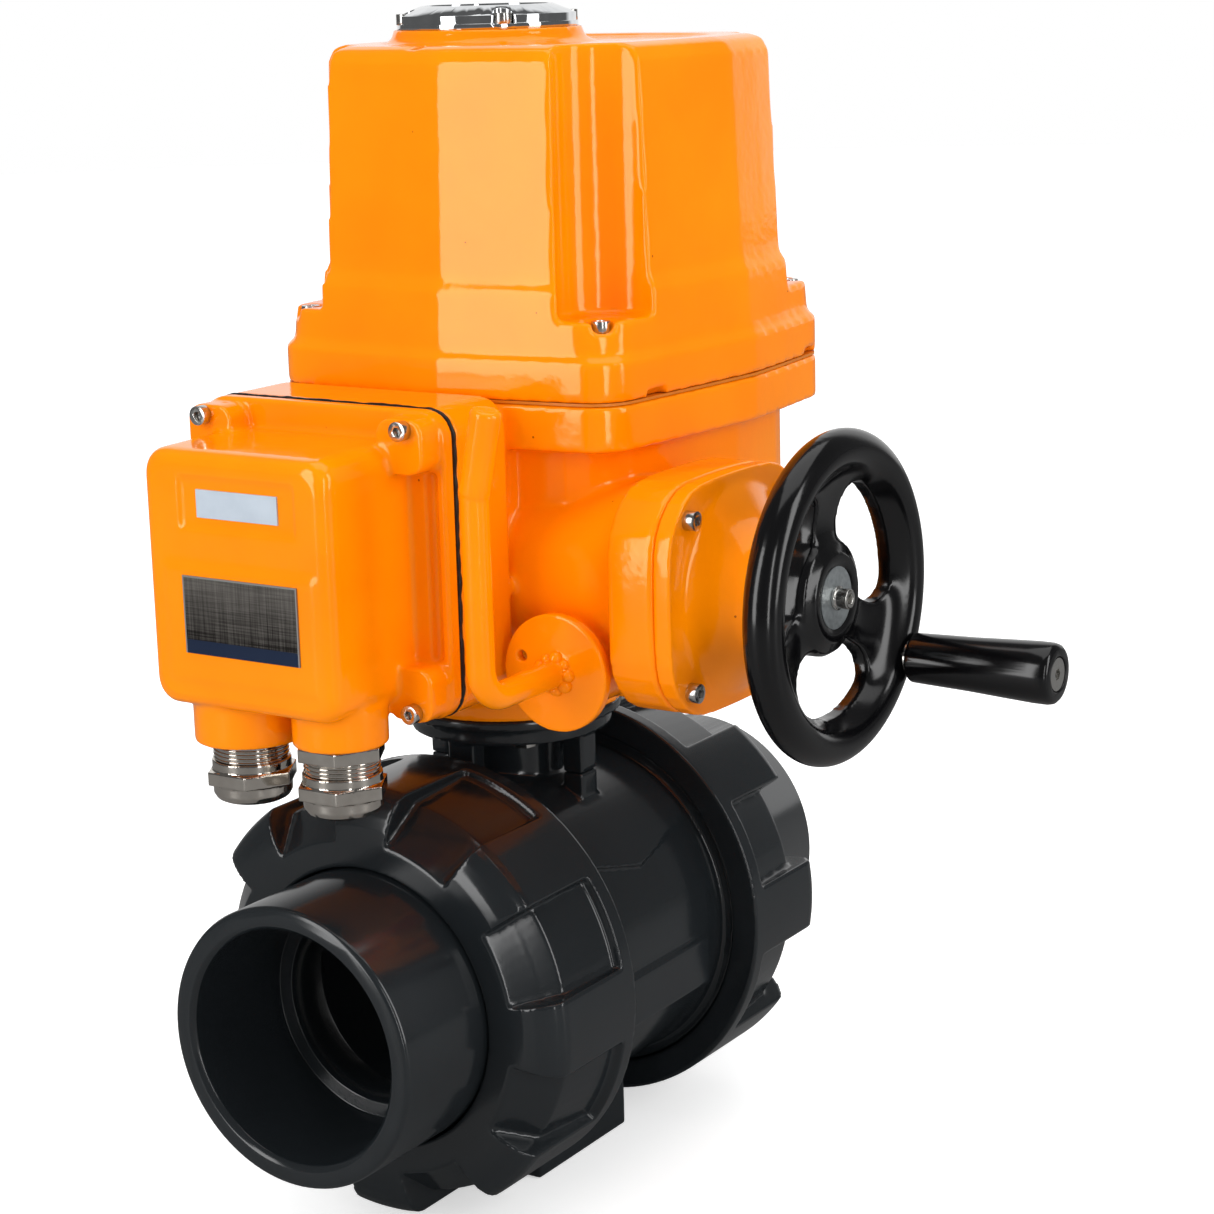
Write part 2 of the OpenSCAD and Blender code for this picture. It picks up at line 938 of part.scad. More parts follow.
// shallow tray in the top face, with a drain cut through its rim on the front side
module top_recess() {
    difference() {
        union() {
            translate([0, 0, dome_top - 1.2])
                linear_extrude(1.2 + e)
                    polygon(outline(27, 22));
            translate([3, house_cy - house_b - e, dome_top - 1.2])
                cube([7, 50, 1.2 + e]);
        }
        cylinder_z(0, 0, dome_top - 2, dome_top + 1, 40);
        at_notches()
            cylinder_z(0, 0, dome_top - 2, dome_top + 1, notch_r + 6);
    }
}

module cover_screws() {
    color("silver")
        at_cover_screws()
            translate([0, 0, ear_seat])
                cap_screw(4, ear_seat - seam_z + 12);
}

// places of the bezel screws, local X pointing outward
module at_bezel_screws() {
    for (a = [45:90:315])
        rotate([0, 0, a])
            translate([bezel_screw_r, 0, 0])
                children();
}

module indicator_bezel() {
    wall_h = 5;
    color("silver")
        difference() {
            union() {
                cylinder_z(0, 0, boss_top, boss_top + 2, 34.4);
                cylinder_z(0, 0, boss_top, boss_top + wall_h, 33.6);
                translate([0, 0, boss_top + wall_h])
                    cylinder(h = bezel_h - wall_h, r1 = 33.6, r2 = window_r - 1.6);
            }
            cylinder_z(0, 0, boss_top - e, boss_top + bezel_h + e, window_r - 2.8);
            cylinder_z(0, 0, boss_top - e, boss_top + 4.2, window_r + 0.1);
            at_bezel_screws() {
                cylinder_z(0, 0, boss_top - e, boss_top + bezel_h, 2.2);
                cylinder_z(0, 0, bezel_seat, boss_top + bezel_h, 3.7);
                translate([0, -3.7, bezel_seat])
                    cube([6, 7.4, bezel_h]);
            }
        }
}

module indicator_window() {
    color("lightblue")
        cylinder_z(0, 0, boss_top, boss_top + 4, window_r);
}

module bezel_screws() {
    color("silver")
        at_bezel_screws()
            translate([0, 0, bezel_seat])
                cap_screw(4, 9.3);
}

module indicator_dial() {
    color("white")
        difference() {
            union() {
                cylinder_z(0, 0, dial_z, dial_z + 1.5, window_r - 2.6);
                cylinder_z(0, 0, dial_z - 8, dial_z + e, 8);
            }
            cylinder_z(0, 0, dial_z - 9, dial_z, 5);
        }
}

// terminal box

// ring of the box body, which sits to the left of and below the middle of its plate
function box_ring(a, b, r, y) = [for (p = corners(a, b, r)) [p[0] - 3.7, y, p[1] + box_zc - 2.3]];

module terminal_gasket() {
    color("black")
        along_front(0, box_y, box_zc)
            linear_extrude(box_y - cover_y)
                difference() {
                    polygon(corners(box_w/2 - 0.3, box_h/2 - 0.3, 10));
                    polygon(corners(box_w/2 - 14, box_h/2 - 11, 5));
                    four(box_screw_x, box_screw_z)
                        circle(r = 2.2);
                }
}

module terminal_cover() {
    a = box_w/2 - 12.2;
    b = box_h/2 - 8.7;
    color("darkorange")
        difference() {
            union() {
                along_front(0, cover_y, box_zc)
                    linear_extrude(6)
                        polygon(corners(box_w/2, box_h/2, 10));
                loft([box_ring(a, b, 8, cover_y - 3), box_ring(a - 0.6, b - 0.6, 8, front_y + 5.5),
                    box_ring(a - 1.2, b - 1.2, 8, front_y + 3), box_ring(a - 2.5, b - 2.5, 8, front_y + 1.1),
                    box_ring(a - 5, b - 5, 8, front_y)]);
                rating_panel();
                along_front(0, cover_y - 3, box_zc)
                    four(box_w/2 - 11.5, box_h/2 - 11.4)
                        linear_extrude(cover_y - 3 - ear_y)
                            polygon(corners(10, 9.8, 6));
                for (i = [0, 1])
                    at_gland(i, port_z[i])
                        cylinder(h = box_foot + 9.5 - port_z[i], r = port_r[i]);
            }
            loft([box_ring(a - box_wall, b - box_wall, 5, cover_y + e),
                box_ring(a - box_wall - 3, b - box_wall - 4, 5, front_y + box_wall)]);
            at_box_screws(cover_y + e)
                cylinder(h = 20, r = 2.2);
            for (i = [0, 1]) {
                at_gland(i, port_z[i] - e)
                    cylinder(h = 40, r = gland_r);
                at_gland(i, port_z[i] - e)
                    cylinder(h = hex_z[i] - port_z[i] + e, r = hex_r + 0.6);
            }
            name_panel(front_y - e, e + 1);
            for (s = [-1, 1])
                translate([s*(box_w/2 - 6.1) - 2, plate_y - e, box_zc - box_h/2 + 21.75])
                    cube([4, 3 + e, box_h - 43.5]);
        }
}

// raised panel for the rating plate on the box front
module rating_panel() {
    translate([-35, front_y - panel_h, box_zc - 38])
        cube([66, panel_h + e, 41]);
}

// sunk panel for the name plate in the box front
module name_panel(y, h) {
    translate([-28, y, box_zc + 16.5])
        cube([52, h, 19]);
}

module terminal_cover_screws() {
    color("silver")
        at_box_screws(ear_y)
            cap_screw(4, cover_y - ear_y + 11);
}

module terminal_block() {
    color("ivory")
        difference() {
            translate([-35, -98, box_zc - 6])
                cube([70, 18, 18]);
            for (i = [-3:3])
                along_front(9*i, -90, box_zc + 3)
                    cylinder(h = 10, r = 2.6);
        }
}

// heights of each gland below its boss: thread, hexagon, nut, cap
// the left port is wider and longer and hides the hexagon of its gland
port_r = [20, 17.2];
port_z = [box_foot - 8.5, box_foot - 5.5];
hex_z = [port_z[0] + 5.3, port_z[1]];
hex_h = 5;
hex_r = 16.75;
gland_r = 10;
gland_thread = 13.4;
nut_top = box_foot - 15.7;
nut_hex = nut_top - 3.8;
nut_cap = nut_hex - 5;
nut_foot = nut_cap - 6.7;
seal_z = nut_cap + 0.5;

module gland_bodies() {
    color("silver")
        for (i = [0, 1])
            at_gland(i, 0)
                difference() {
                    union() {
                        cylinder_z(0, 0, hex_z[i] - e, hex_z[i] + 14, gland_r);
                        translate([0, 0, hex_z[i] - hex_h])
                            cylinder(h = hex_h, r = hex_r, $fn = 6);
                        cylinder_z(0, 0, nut_top + 0.2, hex_z[i] - hex_h + e, gland_thread);
                        cylinder_z(0, 0, seal_z + 1.5, nut_top + e, gland_thread - 1.5);
                    }
                    cylinder_z(0, 0, seal_z, hex_z[i] + 15, gland_bore/2 + 0.5);
                    cylinder_z(0, 0, seal_z, seal_z + 10.3, 9.6);
                }
}

module gland_nuts() {
    color("silver")
        for (i = [0, 1])
            at_gland(i, 0)
                difference() {
                    union() {
                        cylinder_z(0, 0, nut_hex - e, nut_top, gland_thread + 1);
                        translate([0, 0, nut_cap])
                            cylinder(h = nut_hex - nut_cap, r = hex_r + 0.4, $fn = 6);
                        cylinder_z(0, 0, nut_foot + 3, nut_cap + e, gland_thread + 1);
                        translate([0, 0, nut_foot + 1])
                            cylinder(h = 2, r1 = gland_thread - 0.2, r2 = gland_thread + 1);
                        translate([0, 0, nut_foot])
                            cylinder(h = 1, r1 = gland_thread - 2.2, r2 = gland_thread - 0.2);
                    }
                    cylinder_z(0, 0, seal_z, nut_top + e, gland_thread - 1.4);
                    cylinder_z(0, 0, nut_foot - e, nut_top, gland_bore/2 + 0.5);
                }
}

module gland_seals() {
    color("black")
        for (i = [0, 1])
            at_gland(i, seal_z)
                ring(gland_bore/2, 9.5, 10);
}

module rating_plate() {
    color("darkslategray")
        translate([-27, front_y - panel_h - 0.6, box_zc - 28])
            cube([51, 0.6, 28]);
}

module name_plate() {
    color("lightsteelblue")
        translate([-20, front_y + 0.4, box_zc + 21])
            cube([36, 0.6, 10]);
}

// gearbox cover and bearings

module gearbox_cover() {
    color("darkorange")
        difference() {
            union() {
                worm_axis(neck_x)
                    linear_extrude(cover_x - neck_x)
                        polygon(bowed(neck_half, neck_high, neck_round, 3));
                worm_axis(cover_x - e)
                    rotate_extrude()
                        polygon(concat([[0, 0], [39, 0]],
                            [for (i = [0:8]) [26 + 13*pow(1 - i/8, 2), e + (cone_x - cover_x)*i/8]],
                            [[0, e + cone_x - cover_x]]));
                worm_axis(neck_x - 5)
                    cylinder(h = 6, r = 28.5 - gap);
            }
            worm_axis(neck_x - 6)
                cylinder(h = 18, r = 20);
            worm_axis(neck_x)
                cylinder(h = 30, r = shaft_r + 0.7);
            worm_axis(cone_x - 6)
                cylinder(h = 7, r = 14);
            worm_axis(neck_x - e)
                four(neck_half - 9.7, neck_high - 8.7)
                    cylinder(h = 9, r = 2.2);
            worm_axis(cover_x)
                four(neck_half - 9.7, neck_high - 8.7)
                    cylinder(h = 12, r = 4.5);
        }
}

module gearbox_cover_screws() {
    color("silver")
        worm_axis(cover_x)
            four(neck_half - 9.7, neck_high - 8.7)
                cap_screw(4, 19);
}

module worm_bearing_inner() {
    color("lightgray")
        worm_axis(-46)
            bearing(6 + run, 12, 8);
}

module worm_bearing_outer() {
    color("lightgray")
        worm_axis(neck_x)
            bearing(shaft_r + run, 20, 12);
}

module shaft_seal() {
    color("black")
        worm_axis(cone_x - 6)
            ring(shaft_r + run, 14, 6);
}

module output_bearings() {
    color("lightgray") {
        translate([0, 0, base_z + 28])
            bearing(journal_r + run, 24, 12);
        translate([0, 0, floor_z - 7])
            bearing(journal_r + run, 19, 7);
    }
}

module bearing_plate() {
    color("silver")
        difference() {
            union() {
                cylinder_z(0, 0, floor_z - 4, floor_z, 46);
                cylinder_z(0, 0, floor_z - 7.7, floor_z - 3, 24);
            }
            cylinder_z(0, 0, floor_z - 7, floor_z + e, 19);
            cylinder_z(0, 0, floor_z - 8, floor_z, journal_r + 4);
            for (a = plate_screw_angles)
                rotate([0, 0, a])
                    cylinder_z(41, 0, floor_z - 5, floor_z + e, 2.1);
        }
}

module inner_screws() {
    color("silver") {
        for (a = plate_screw_angles)
            rotate([0, 0, a])
                translate([41, 0, floor_z])
                    cap_screw(4, 12);
        for (p = posts)
            translate([p[0], p[1], seam_z + 5])
                cap_screw(4, 12);
    }
}

// output train

module output_shaft() {
    color("silver")
        union() {
            translate([-square_s/2, -square_s/2, shaft_foot])
                cube([square_s, square_s, base_z + 27 - shaft_foot]);
            cylinder_z(0, 0, base_z + 26.5, floor_z, journal_r);
            cylinder_z(0, 0, floor_z - e, seam_z + 3, 9);
            cylinder_z(0, 0, seam_z, dial_z, 5);
        }
}

module worm_wheel() {
    root = wheel_pitch - 1.9;
    color("goldenrod")
        difference() {
            union() {
                cylinder_z(0, 0, worm_z - 7, worm_z + 7, root + 0.1);
                cylinder_z(0, 0, base_z + 40.5, worm_z, 18);
                for (k = [0:wheel_teeth - 1])
                    rotate([0, 0, -90 + k*360/wheel_teeth])
                        translate([0, 0, worm_z])
                            rotate([lead_angle, 0, 0])
                                wheel_tooth();
            }
            cylinder_z(0, 0, base_z + 40, worm_z + 8, journal_r);
        }
}

module wheel_tooth() {
    t = tan(20);
    translate([0, 0, -6.8])
        linear_extrude(13.6)
            polygon([
                [wheel_pitch - 2.5, -tooth_half - 1.9*t], [wheel_pitch - 1.9, -tooth_half - 1.9*t],
                [wheel_pitch + 1.4, -tooth_half + 1.4*t], [wheel_pitch + 1.4, tooth_half - 1.4*t],
                [wheel_pitch - 1.9, tooth_half + 1.9*t], [wheel_pitch - 2.5, tooth_half + 1.9*t]]);
}

module limit_cams() {
    color("ivory")
        difference() {
            union() {
                cylinder_z(0, 0, seam_z + 12, seam_z + 29, 8);
                for (k = [0, 1])
                    rotate([0, 0, 130*k]) {
                        cylinder_z(0, 0, seam_z + 13 + 8*k, seam_z + 19 + 8*k, 13);
                        translate([0, -4, seam_z + 13 + 8*k])
                            cube([16.5, 8, 6]);
                    }
            }
            cylinder_z(0, 0, seam_z + 11, seam_z + 30, 5);
        }
}

// worm train

module worm_shaft() {
    color("silver")
        difference() {
            union() {
                worm_axis(-46)
                    cylinder(h = 30, r = 6);
                worm_axis(-37.5)
                    cylinder(h = 20, r = 7);
                worm_axis(-20)
                    cylinder(h = 40, r = worm_pitch - 1.9);
                worm_axis(19)
                    cylinder(h = 26, r = 7);
                worm_axis(spur_x - 6)
                    cylinder(h = hub_x - spur_x + 6, r = shaft_r);
                worm_axis(hub_x - e)
                    cylinder(h = 16.5, r = 7);
                worm_axis(0)
                    worm_thread();
            }
            worm_axis(hub_x)
                cylinder(h = 20, r = 2);
        }
}

// left-handed thread, one turn per wheel tooth, with a gap on the wheel side at mid length
module worm_thread() {
    t = tan(20);
    steps = 16;
    n = 116;
    sections = [
        for (i = [0:n])
            let (
                a = (i - n/2)*360/steps + 180,
                x = -(i - n/2)*worm_lead/steps,
                fade = min(1, 0.35 + min(i, n - i)/12),
                r0 = worm_pitch - 2.4,
                r1 = worm_pitch - 1.9 + 3.3*fade,
                w0 = tooth_half + 2.4*t,
                w1 = tooth_half + 1.9*t - 3.3*fade*t
            )
            [[r0*cos(a), r0*sin(a), x - w0], [r1*cos(a), r1*sin(a), x - w1],
                [r1*cos(a), r1*sin(a), x + w1], [r0*cos(a), r0*sin(a), x + w0]]
    ];
    loft([for (i = [n:-1:0]) sections[i]]);
}

module worm_gear() {
    color("silver")
        difference() {
            union() {
                worm_axis(spur_x)
                    rotate([0, 0, mesh_angle])
                        spur(spur_teeth, spur_w);
                worm_axis(spur_x + spur_w - e)
                    cylinder(h = 8 + e, r = sleeve_r);
            }
            worm_axis(spur_x - e)
                cylinder(h = 30, r = shaft_r);
            worm_axis(spur_x + spur_w + 3)
                dogs(24, 10);
        }
}

// three clutch dogs, each spanning the angle given on both sides of its middle
module dogs(half, h) {
    for (a = [90, 210, 330])
        rotate([0, 0, a - half])
            rotate_extrude(angle = 2*half)
                translate([shaft_r + 2, 0])
                    square([sleeve_r - shaft_r, h]);
}

module motor_case() {
    color("dimgray")
        difference() {
            union() {
                along_x(motor_x, motor_y, motor_z)
                    cylinder(h = 43 - motor_x, r = 18);
                translate([-28, motor_y - 16, floor_z])
                    cube([62, 32, motor_z - floor_z]);
            }
            along_x(motor_x + 6, motor_y, motor_z)
                cylinder(h = 31 - motor_x, r = 14.5);
            along_x(motor_x + 2, motor_y, motor_z)
                cylinder(h = 50 - motor_x, r = 4 + run);
        }
}

module motor_rotor() {
    color("silver") {
        union() {
            along_x(motor_x + 2.5, motor_y, motor_z)
                cylinder(h = spur_x + spur_w - 0.5 - motor_x, r = 4);
            along_x(motor_x + 12, motor_y, motor_z)
                cylinder(h = 18 - motor_x, r = 13.5);
            along_x(spur_x, motor_y, motor_z)
                rotate([0, 0, mesh_angle + 180 + 180/pinion_teeth])
                    spur(pinion_teeth, spur_w);
        }
    }
}

// electrics

module chassis_plate() {
    color("lightgray")
        difference() {
            translate([-46, -38, seam_z + 3])
                cube([112, 110, 2]);
            translate([-50, 44, seam_z + 2])
                cube([14, 40, 4]);
            translate([-50, -50, seam_z + 2])
                cube([14, 70, 4]);
            cylinder_z(0, 0, seam_z + 2, seam_z + 6, 14);
            for (p = posts)
                cylinder_z(p[0], p[1], seam_z + 2, seam_z + 6, 2.1);
        }
}

module control_board() {
    color("darkgreen")
        union() {
            translate([-24, 40, seam_z + 15])
                cube([76, 28, 1.6]);
            for (x = [-20, 48])
                for (y = [44, 64])
                    cylinder_z(x, y, seam_z + 5, seam_z + 15 + e, 2.5);
            translate([-10, 46, seam_z + 16])
                cube([20, 14, 12]);
            translate([18, 46, seam_z + 16])
                cube([14, 14, 10]);
        }
}

module capacitor() {
    color("gray")
        cylinder_z(46, -20, seam_z + 5, seam_z + 55, 14);
}

module limit_switches() {
    color("black")
        for (k = [0, 1])
            translate([-15, 19 + 0.5*k, seam_z + 5 + 13*k])
                cube([30, 17 - 0.5*k, 13]);
}

// handwheel

module handwheel() {
    color("black")
        difference() {
            union() {
                worm_axis(rim_x)
                    rotate_extrude($fn = 96)
                        translate([rim_ring, 0])
                            circle(r = rim_r);
                worm_axis(hub_x)
                    cylinder(h = 17, r1 = 19, r2 = 20.5);
                worm_axis(hub_x + 17 - e)
                    ring(12.2, 16.5, e + 2);
                wheel_web();
            }
            worm_axis(hub_x - e)
                cylinder(h = 16.5 + e, r = 7);
            worm_axis(hub_x)
                cylinder(h = 20, r = 2.2);
            grip_axis(rim_x - 2)
                cylinder(h = 20, r = 4);
        }
}

// dished web from hub to rim, open between the spokes
module wheel_web() {
    rim_s = rim_x - hub_x;
    worm_axis(hub_x)
        difference() {
            rotate_extrude($fn = 96)
                polygon([[15, 4], [web_in + 8, 7], [rim_ring, rim_s - 3.5], [rim_ring, rim_s + 2.5],
                    [web_out - 4, rim_s - 1.5], [web_in + 6, 14.5], [15, 15]]);
            for (a = spoke_angles)
                rotate([0, 0, a + 60])
                    linear_extrude(rim_s + 10)
                        polygon(wheel_opening());
        }
}

// rounded opening midway between two spokes, lying about local X
function wheel_opening() =
    let (
        f = 6,
        g = 9,
        p = 60 - asin((spoke_half + f)/(web_in + f)),
        q = 60 - asin((spoke_half + g)/(web_out - g)),
        half = concat(
            [for (i = [0:6]) arm(web_in + f, p) + arm(f, p + 180 - (p + 30)*i/6)],
            [for (i = [0:6]) arm(web_out - g, q) + arm(g, 150 - (150 - q)*i/6)])
    )
    concat(
        half,
        [for (i = [1:7]) arm(web_out, q - q*i/4)],
        [for (i = [13:-1:0]) [half[i][0], -half[i][1]]],
        [for (i = [1:7]) arm(web_in, p*i/4 - p)]);

function arm(r, a) = r*[cos(a), sin(a)];

module grip_axis(x) {
    along_x(x, worm_y + rim_ring*cos(grip_angle), worm_z + rim_ring*sin(grip_angle))
        children();
}

module handwheel_washer() {
    color("silver")
        worm_axis(hub_x + 17)
            ring(2.2, 11.2, 1.5);
}

module handwheel_bolt() {
    color("silver")
        worm_axis(hub_x + 18.5)
            difference() {
                union() {
                    translate([0, 0, -17])
                        cylinder(h = 18, r = 2);
                    cylinder(h = 1.2, r = 4.4);
                    translate([0, 0, 1])
                        cylinder(h = 4.5, r = 3.6);
                }
                translate([0, 0, 2.8])
                    cylinder(h = 5, r = 2, $fn = 6);
            }
}

module grip_spindle() {
    color("silver")
        difference() {
            union() {
                grip_axis(rim_x - 2)
                    cylinder(h = grip_x - rim_x + grip_l, r = 4);
                grip_axis(rim_x + rim_r - 0.2)
                    cylinder(h = 1, r = 6.5);
                grip_axis(grip_x + grip_l - grip_sink + gap)
                    cylinder(h = grip_sink - 2*gap, r = 6);
            }
            grip_axis(grip_x + grip_l - 1.6)
                cylinder(h = 4, r = 2.2, $fn = 6);
        }
}

module handle_grip() {
    l = grip_l;
    color("black")
        grip_axis(grip_x)
            rotate_extrude()
                polygon([[4 + run, 0], [8.2, 0], [9.1, 0.9], [9.3, 6], [9.9, 0.42*l], [10.7, 0.68*l],
                    [11.2, 0.86*l], [11.2, l - 3], [10.8, l - 1.2], [9.9, l - 0.3], [8.8, l],
                    [6.5, l], [6.5, l - grip_sink], [4 + run, l - grip_sink]]);
}

// clutch

module clutch_sleeve() {
    color("silver")
        difference() {
            union() {
                worm_axis(lever_x - 8)
                    cylinder(h = 16, r = sleeve_r);
                worm_axis(lever_x - 14)
                    intersection() {
                        dogs(20, 7);
                        cylinder(h = 7, r = sleeve_r);
                    }
            }
            worm_axis(lever_x - 20)
                cylinder(h = 40, r = shaft_r + run);
            worm_axis(lever_x - 2.6)
                ring(groove_r, sleeve_r + 2, 5.2);
        }
}

module lever_axis(y) {
    along_front(lever_x, y, lever_z)
        children();
}

// cranked lever: disc, rod along the box side, bend, upright and leaning tip
module clutch_lever() {
    bend = 12;
    reach = 45.5;
    r = lever_d/2;
    top = lever_h - 30;
    color("dimgray")
        difference() {
            union() {
                lever_axis(lever_y - gap)
                    cylinder(h = 4, r = 21.6);
                lever_axis(lever_y - 4)
                    cylinder(h = reach - bend, r = r);
                lever_axis(lever_y - 4 - gap)
                    cylinder(h = 2.5, r1 = r + 2.5, r2 = r);
                translate([lever_x, lever_y - 4 - reach + bend, lever_z + bend])
                    rotate([0, 90, 0])
                        rotate([0, 0, -90])
                            rotate_extrude(angle = 90)
                                translate([bend, 0])
                                    circle(r = r);
                translate([lever_x, lever_y - 4 - reach, lever_z + bend])
                    cylinder(h = top - bend, r = r);
                translate([lever_x, lever_y - 4 - reach, lever_z + top]) {
                    sphere(r = r);
                    rotate([0, 12, 0]) {
                        cylinder(h = 29, r = r + 0.5);
                        translate([0, 0, 29])
                            cylinder(h = 1, r1 = r + 0.5, r2 = r - 0.5);
                    }
                }
            }
            lever_axis(lever_y)
                cylinder(h = 3, r = 6);
            lever_axis(lever_y + 1)
                translate([-14, 5, 0])
                    cylinder(h = 8, r = 2);
        }
}

module lever_shaft() {
    color("silver")
        union() {
            along_front(lever_x, -30 - gap, lever_z)
                cylinder(h = -30 - gap - lever_y + 3, r = 6);
            along_front(lever_x, -34, lever_z)
                cylinder(h = 12, r = 9);
            along_front(lever_x, -34, lever_z + arm_r)
                cylinder(h = 12, r = 2.2);
            translate([lever_x - 1.7, -46, lever_z + 4])
                cube([3.4, 12, arm_r - 4]);
        }
}

module lever_bush() {
    color("goldenrod")
        along_front(lever_x, -49, lever_z)
            ring(6 + run, 9, -49 - lever_y);
}
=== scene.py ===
# %% [markdown]
# # A motorized valve actuator on its ball valve
# The CAD model gives every piece its size and place. This lesson gives the pieces their looks:
# castings with soft paint-filled corners, moulded plastic, plated screws and a quiet white studio.
# Everything is in metres, in the CAD model's own frame, so nothing has to be fitted by eye.

# %% Load the CAD frame
import json
import math

import bmesh
import bpy
import numpy as np
from mathutils import Matrix, Vector

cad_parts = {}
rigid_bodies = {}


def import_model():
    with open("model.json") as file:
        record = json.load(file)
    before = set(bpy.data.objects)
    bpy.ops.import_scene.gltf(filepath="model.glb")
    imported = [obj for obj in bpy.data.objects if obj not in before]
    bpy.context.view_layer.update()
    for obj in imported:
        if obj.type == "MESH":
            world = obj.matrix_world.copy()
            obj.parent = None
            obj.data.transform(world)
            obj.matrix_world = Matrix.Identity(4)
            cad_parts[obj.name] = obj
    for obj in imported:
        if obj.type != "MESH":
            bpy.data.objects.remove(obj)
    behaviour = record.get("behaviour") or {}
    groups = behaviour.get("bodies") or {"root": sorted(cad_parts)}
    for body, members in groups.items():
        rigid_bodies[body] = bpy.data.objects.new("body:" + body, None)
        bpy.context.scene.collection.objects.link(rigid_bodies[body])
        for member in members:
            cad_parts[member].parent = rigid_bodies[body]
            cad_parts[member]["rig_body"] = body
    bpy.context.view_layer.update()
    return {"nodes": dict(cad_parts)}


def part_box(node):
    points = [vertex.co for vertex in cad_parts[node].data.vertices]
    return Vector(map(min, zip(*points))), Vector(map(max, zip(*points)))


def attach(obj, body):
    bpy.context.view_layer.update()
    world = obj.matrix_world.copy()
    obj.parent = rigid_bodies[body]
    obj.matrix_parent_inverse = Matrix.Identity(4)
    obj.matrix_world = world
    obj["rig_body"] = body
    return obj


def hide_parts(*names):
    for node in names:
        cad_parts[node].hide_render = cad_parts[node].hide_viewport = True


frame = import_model()
nodes = frame["nodes"]
MM = 0.001

# %% [markdown]
# ## Camera
# The photograph was taken from the right front, a little above, with a long lens. The camera's place
# was solved from the round ends of the pipe, the handwheel and the box corners.
# A camera looks along its own -Z, so its matrix is built from right, up and back.

# %% Camera at the photograph's viewing angle
AZIMUTH, ELEVATION, ROLL = (math.radians(a) for a in (32.778, 12.943, -1.551))
CAMERA_PLACE = (0.623977, -0.896616, 0.475132)
SENSOR_MM, LENS_MM = 36, 83.636

outward, rise = math.cos(ELEVATION), math.sin(ELEVATION)
back = Vector((math.sin(AZIMUTH) * outward, -math.cos(AZIMUTH) * outward, rise))
level = Vector((math.cos(AZIMUTH), math.sin(AZIMUTH), 0))
above = back.cross(level)
right = math.cos(ROLL) * level + math.sin(ROLL) * above
up = back.cross(right)
turn = Matrix((right, up, back)).transposed().to_4x4()

camera = bpy.data.objects.new("photo_camera", bpy.data.cameras.new("photo_camera"))
bpy.context.scene.collection.objects.link(camera)
camera.matrix_world = Matrix.Translation(CAMERA_PLACE) @ turn
camera.data.sensor_width = SENSOR_MM
camera.data.lens = LENS_MM
bpy.context.scene.camera = camera
print("lens", camera.data.lens, "mm")

# %% [markdown]
# ## Helpers for node trees
# Shader trees and geometry trees are both made of nodes, settings and links, so one function serves both.
# Colours are written as the sRGB hex values one would read off a paint chart, and turned to the
# linear numbers that Blender's sockets expect. Patterns use object coordinates, so they stay on a piece
# that moves.

# %% Node and colour helpers
def add_node(tree, kind, inputs=None, **settings):
    made = tree.nodes.new(kind)
    for key, value in settings.items():
        setattr(made, key, value)
    for key, value in (inputs or {}).items():
        if isinstance(value, bpy.types.NodeSocket):
            tree.links.new(value, made.inputs[key])
        else:
            made.inputs[key].default_value = value
    return made


def srgb(code):
    parts = [int(code[i:i + 2], 16) / 255 for i in (1, 3, 5)]
    return tuple(c / 12.92 if c <= 0.04045 else ((c + 0.055) / 1.055) ** 2.4 for c in parts) + (1.0,)


def per_mm(size):
    """Texture scale for a pattern whose features are this many millimetres wide."""
    return 1 / (size * MM)


def object_place(tree):
    return add_node(tree, "ShaderNodeTexCoord").outputs["Object"]


def noise(tree, place, feature_mm, detail=2.0):
    return add_node(tree, "ShaderNodeTexNoise",
                    {"Vector": place, "Scale": per_mm(feature_mm), "Detail": detail}).outputs["Fac"]


def ramp(tree, value, dark, light, start=0.0, end=1.0):
    made = add_node(tree, "ShaderNodeValToRGB", {"Fac": value})
    first, last = made.color_ramp.elements
    first.color, first.position = srgb(dark), start
    last.color, last.position = srgb(light), end
    return made.outputs["Color"]


def maths(tree, operation, *values):
    return add_node(tree, "ShaderNodeMath", dict(enumerate(values)), operation=operation).outputs[0]


def blend(tree, factor, first, second):
    """Mixes two colours. The sockets 6, 7 and 2 are the Mix node's colour sockets."""
    return add_node(tree, "ShaderNodeMix", {"Factor": factor, 6: first, 7: second},
                    data_type="RGBA").outputs[2]


def remap(tree, value, low, high, start=0.0, end=1.0):
    """Turns the range from start to end into the range from low to high."""
    return add_node(tree, "ShaderNodeMapRange",
                    {"Value": value, 1: start, 2: end, 3: low, 4: high}).outputs[0]


def new_material(name, **constants):
    """An empty Principled material. Constants are set on the shader's own sockets."""
    made = bpy.data.materials.new(name)
    made.use_nodes = True
    shader = made.node_tree.nodes["Principled BSDF"]
    for key, value in constants.items():
        shader.inputs[key.replace("_", " ")].default_value = value
    return made, made.node_tree, shader


def drive(tree, shader, **sockets):
    """Links outputs to the shader's sockets by name."""
    for key, socket in sockets.items():
        tree.links.new(socket, shader.inputs[key.replace("_", " ")])


def bump(tree, height, strength, depth_mm):
    return add_node(tree, "ShaderNodeBump", {"Height": height, "Strength": strength,
                                             "Distance": depth_mm * MM}).outputs["Normal"]


print("orange in linear light:", [round(c, 3) for c in srgb("#ff8a00")])

# %% [markdown]
# ## Orange enamel
# The actuator's castings are aluminium under a thick coat of gloss enamel. Such a coat flows before it
# sets, which leaves orange peel: shallow dimples two or three millimetres apart, with broader waves from
# the casting below. The colour is steady, slightly deeper where the coat ran thick. A few pinholes show.

# %% Orange enamel
PINHOLE_PITCH_MM, PINHOLE_SIZE = 19, 0.022
WAVE_TO_PEEL = 3.5

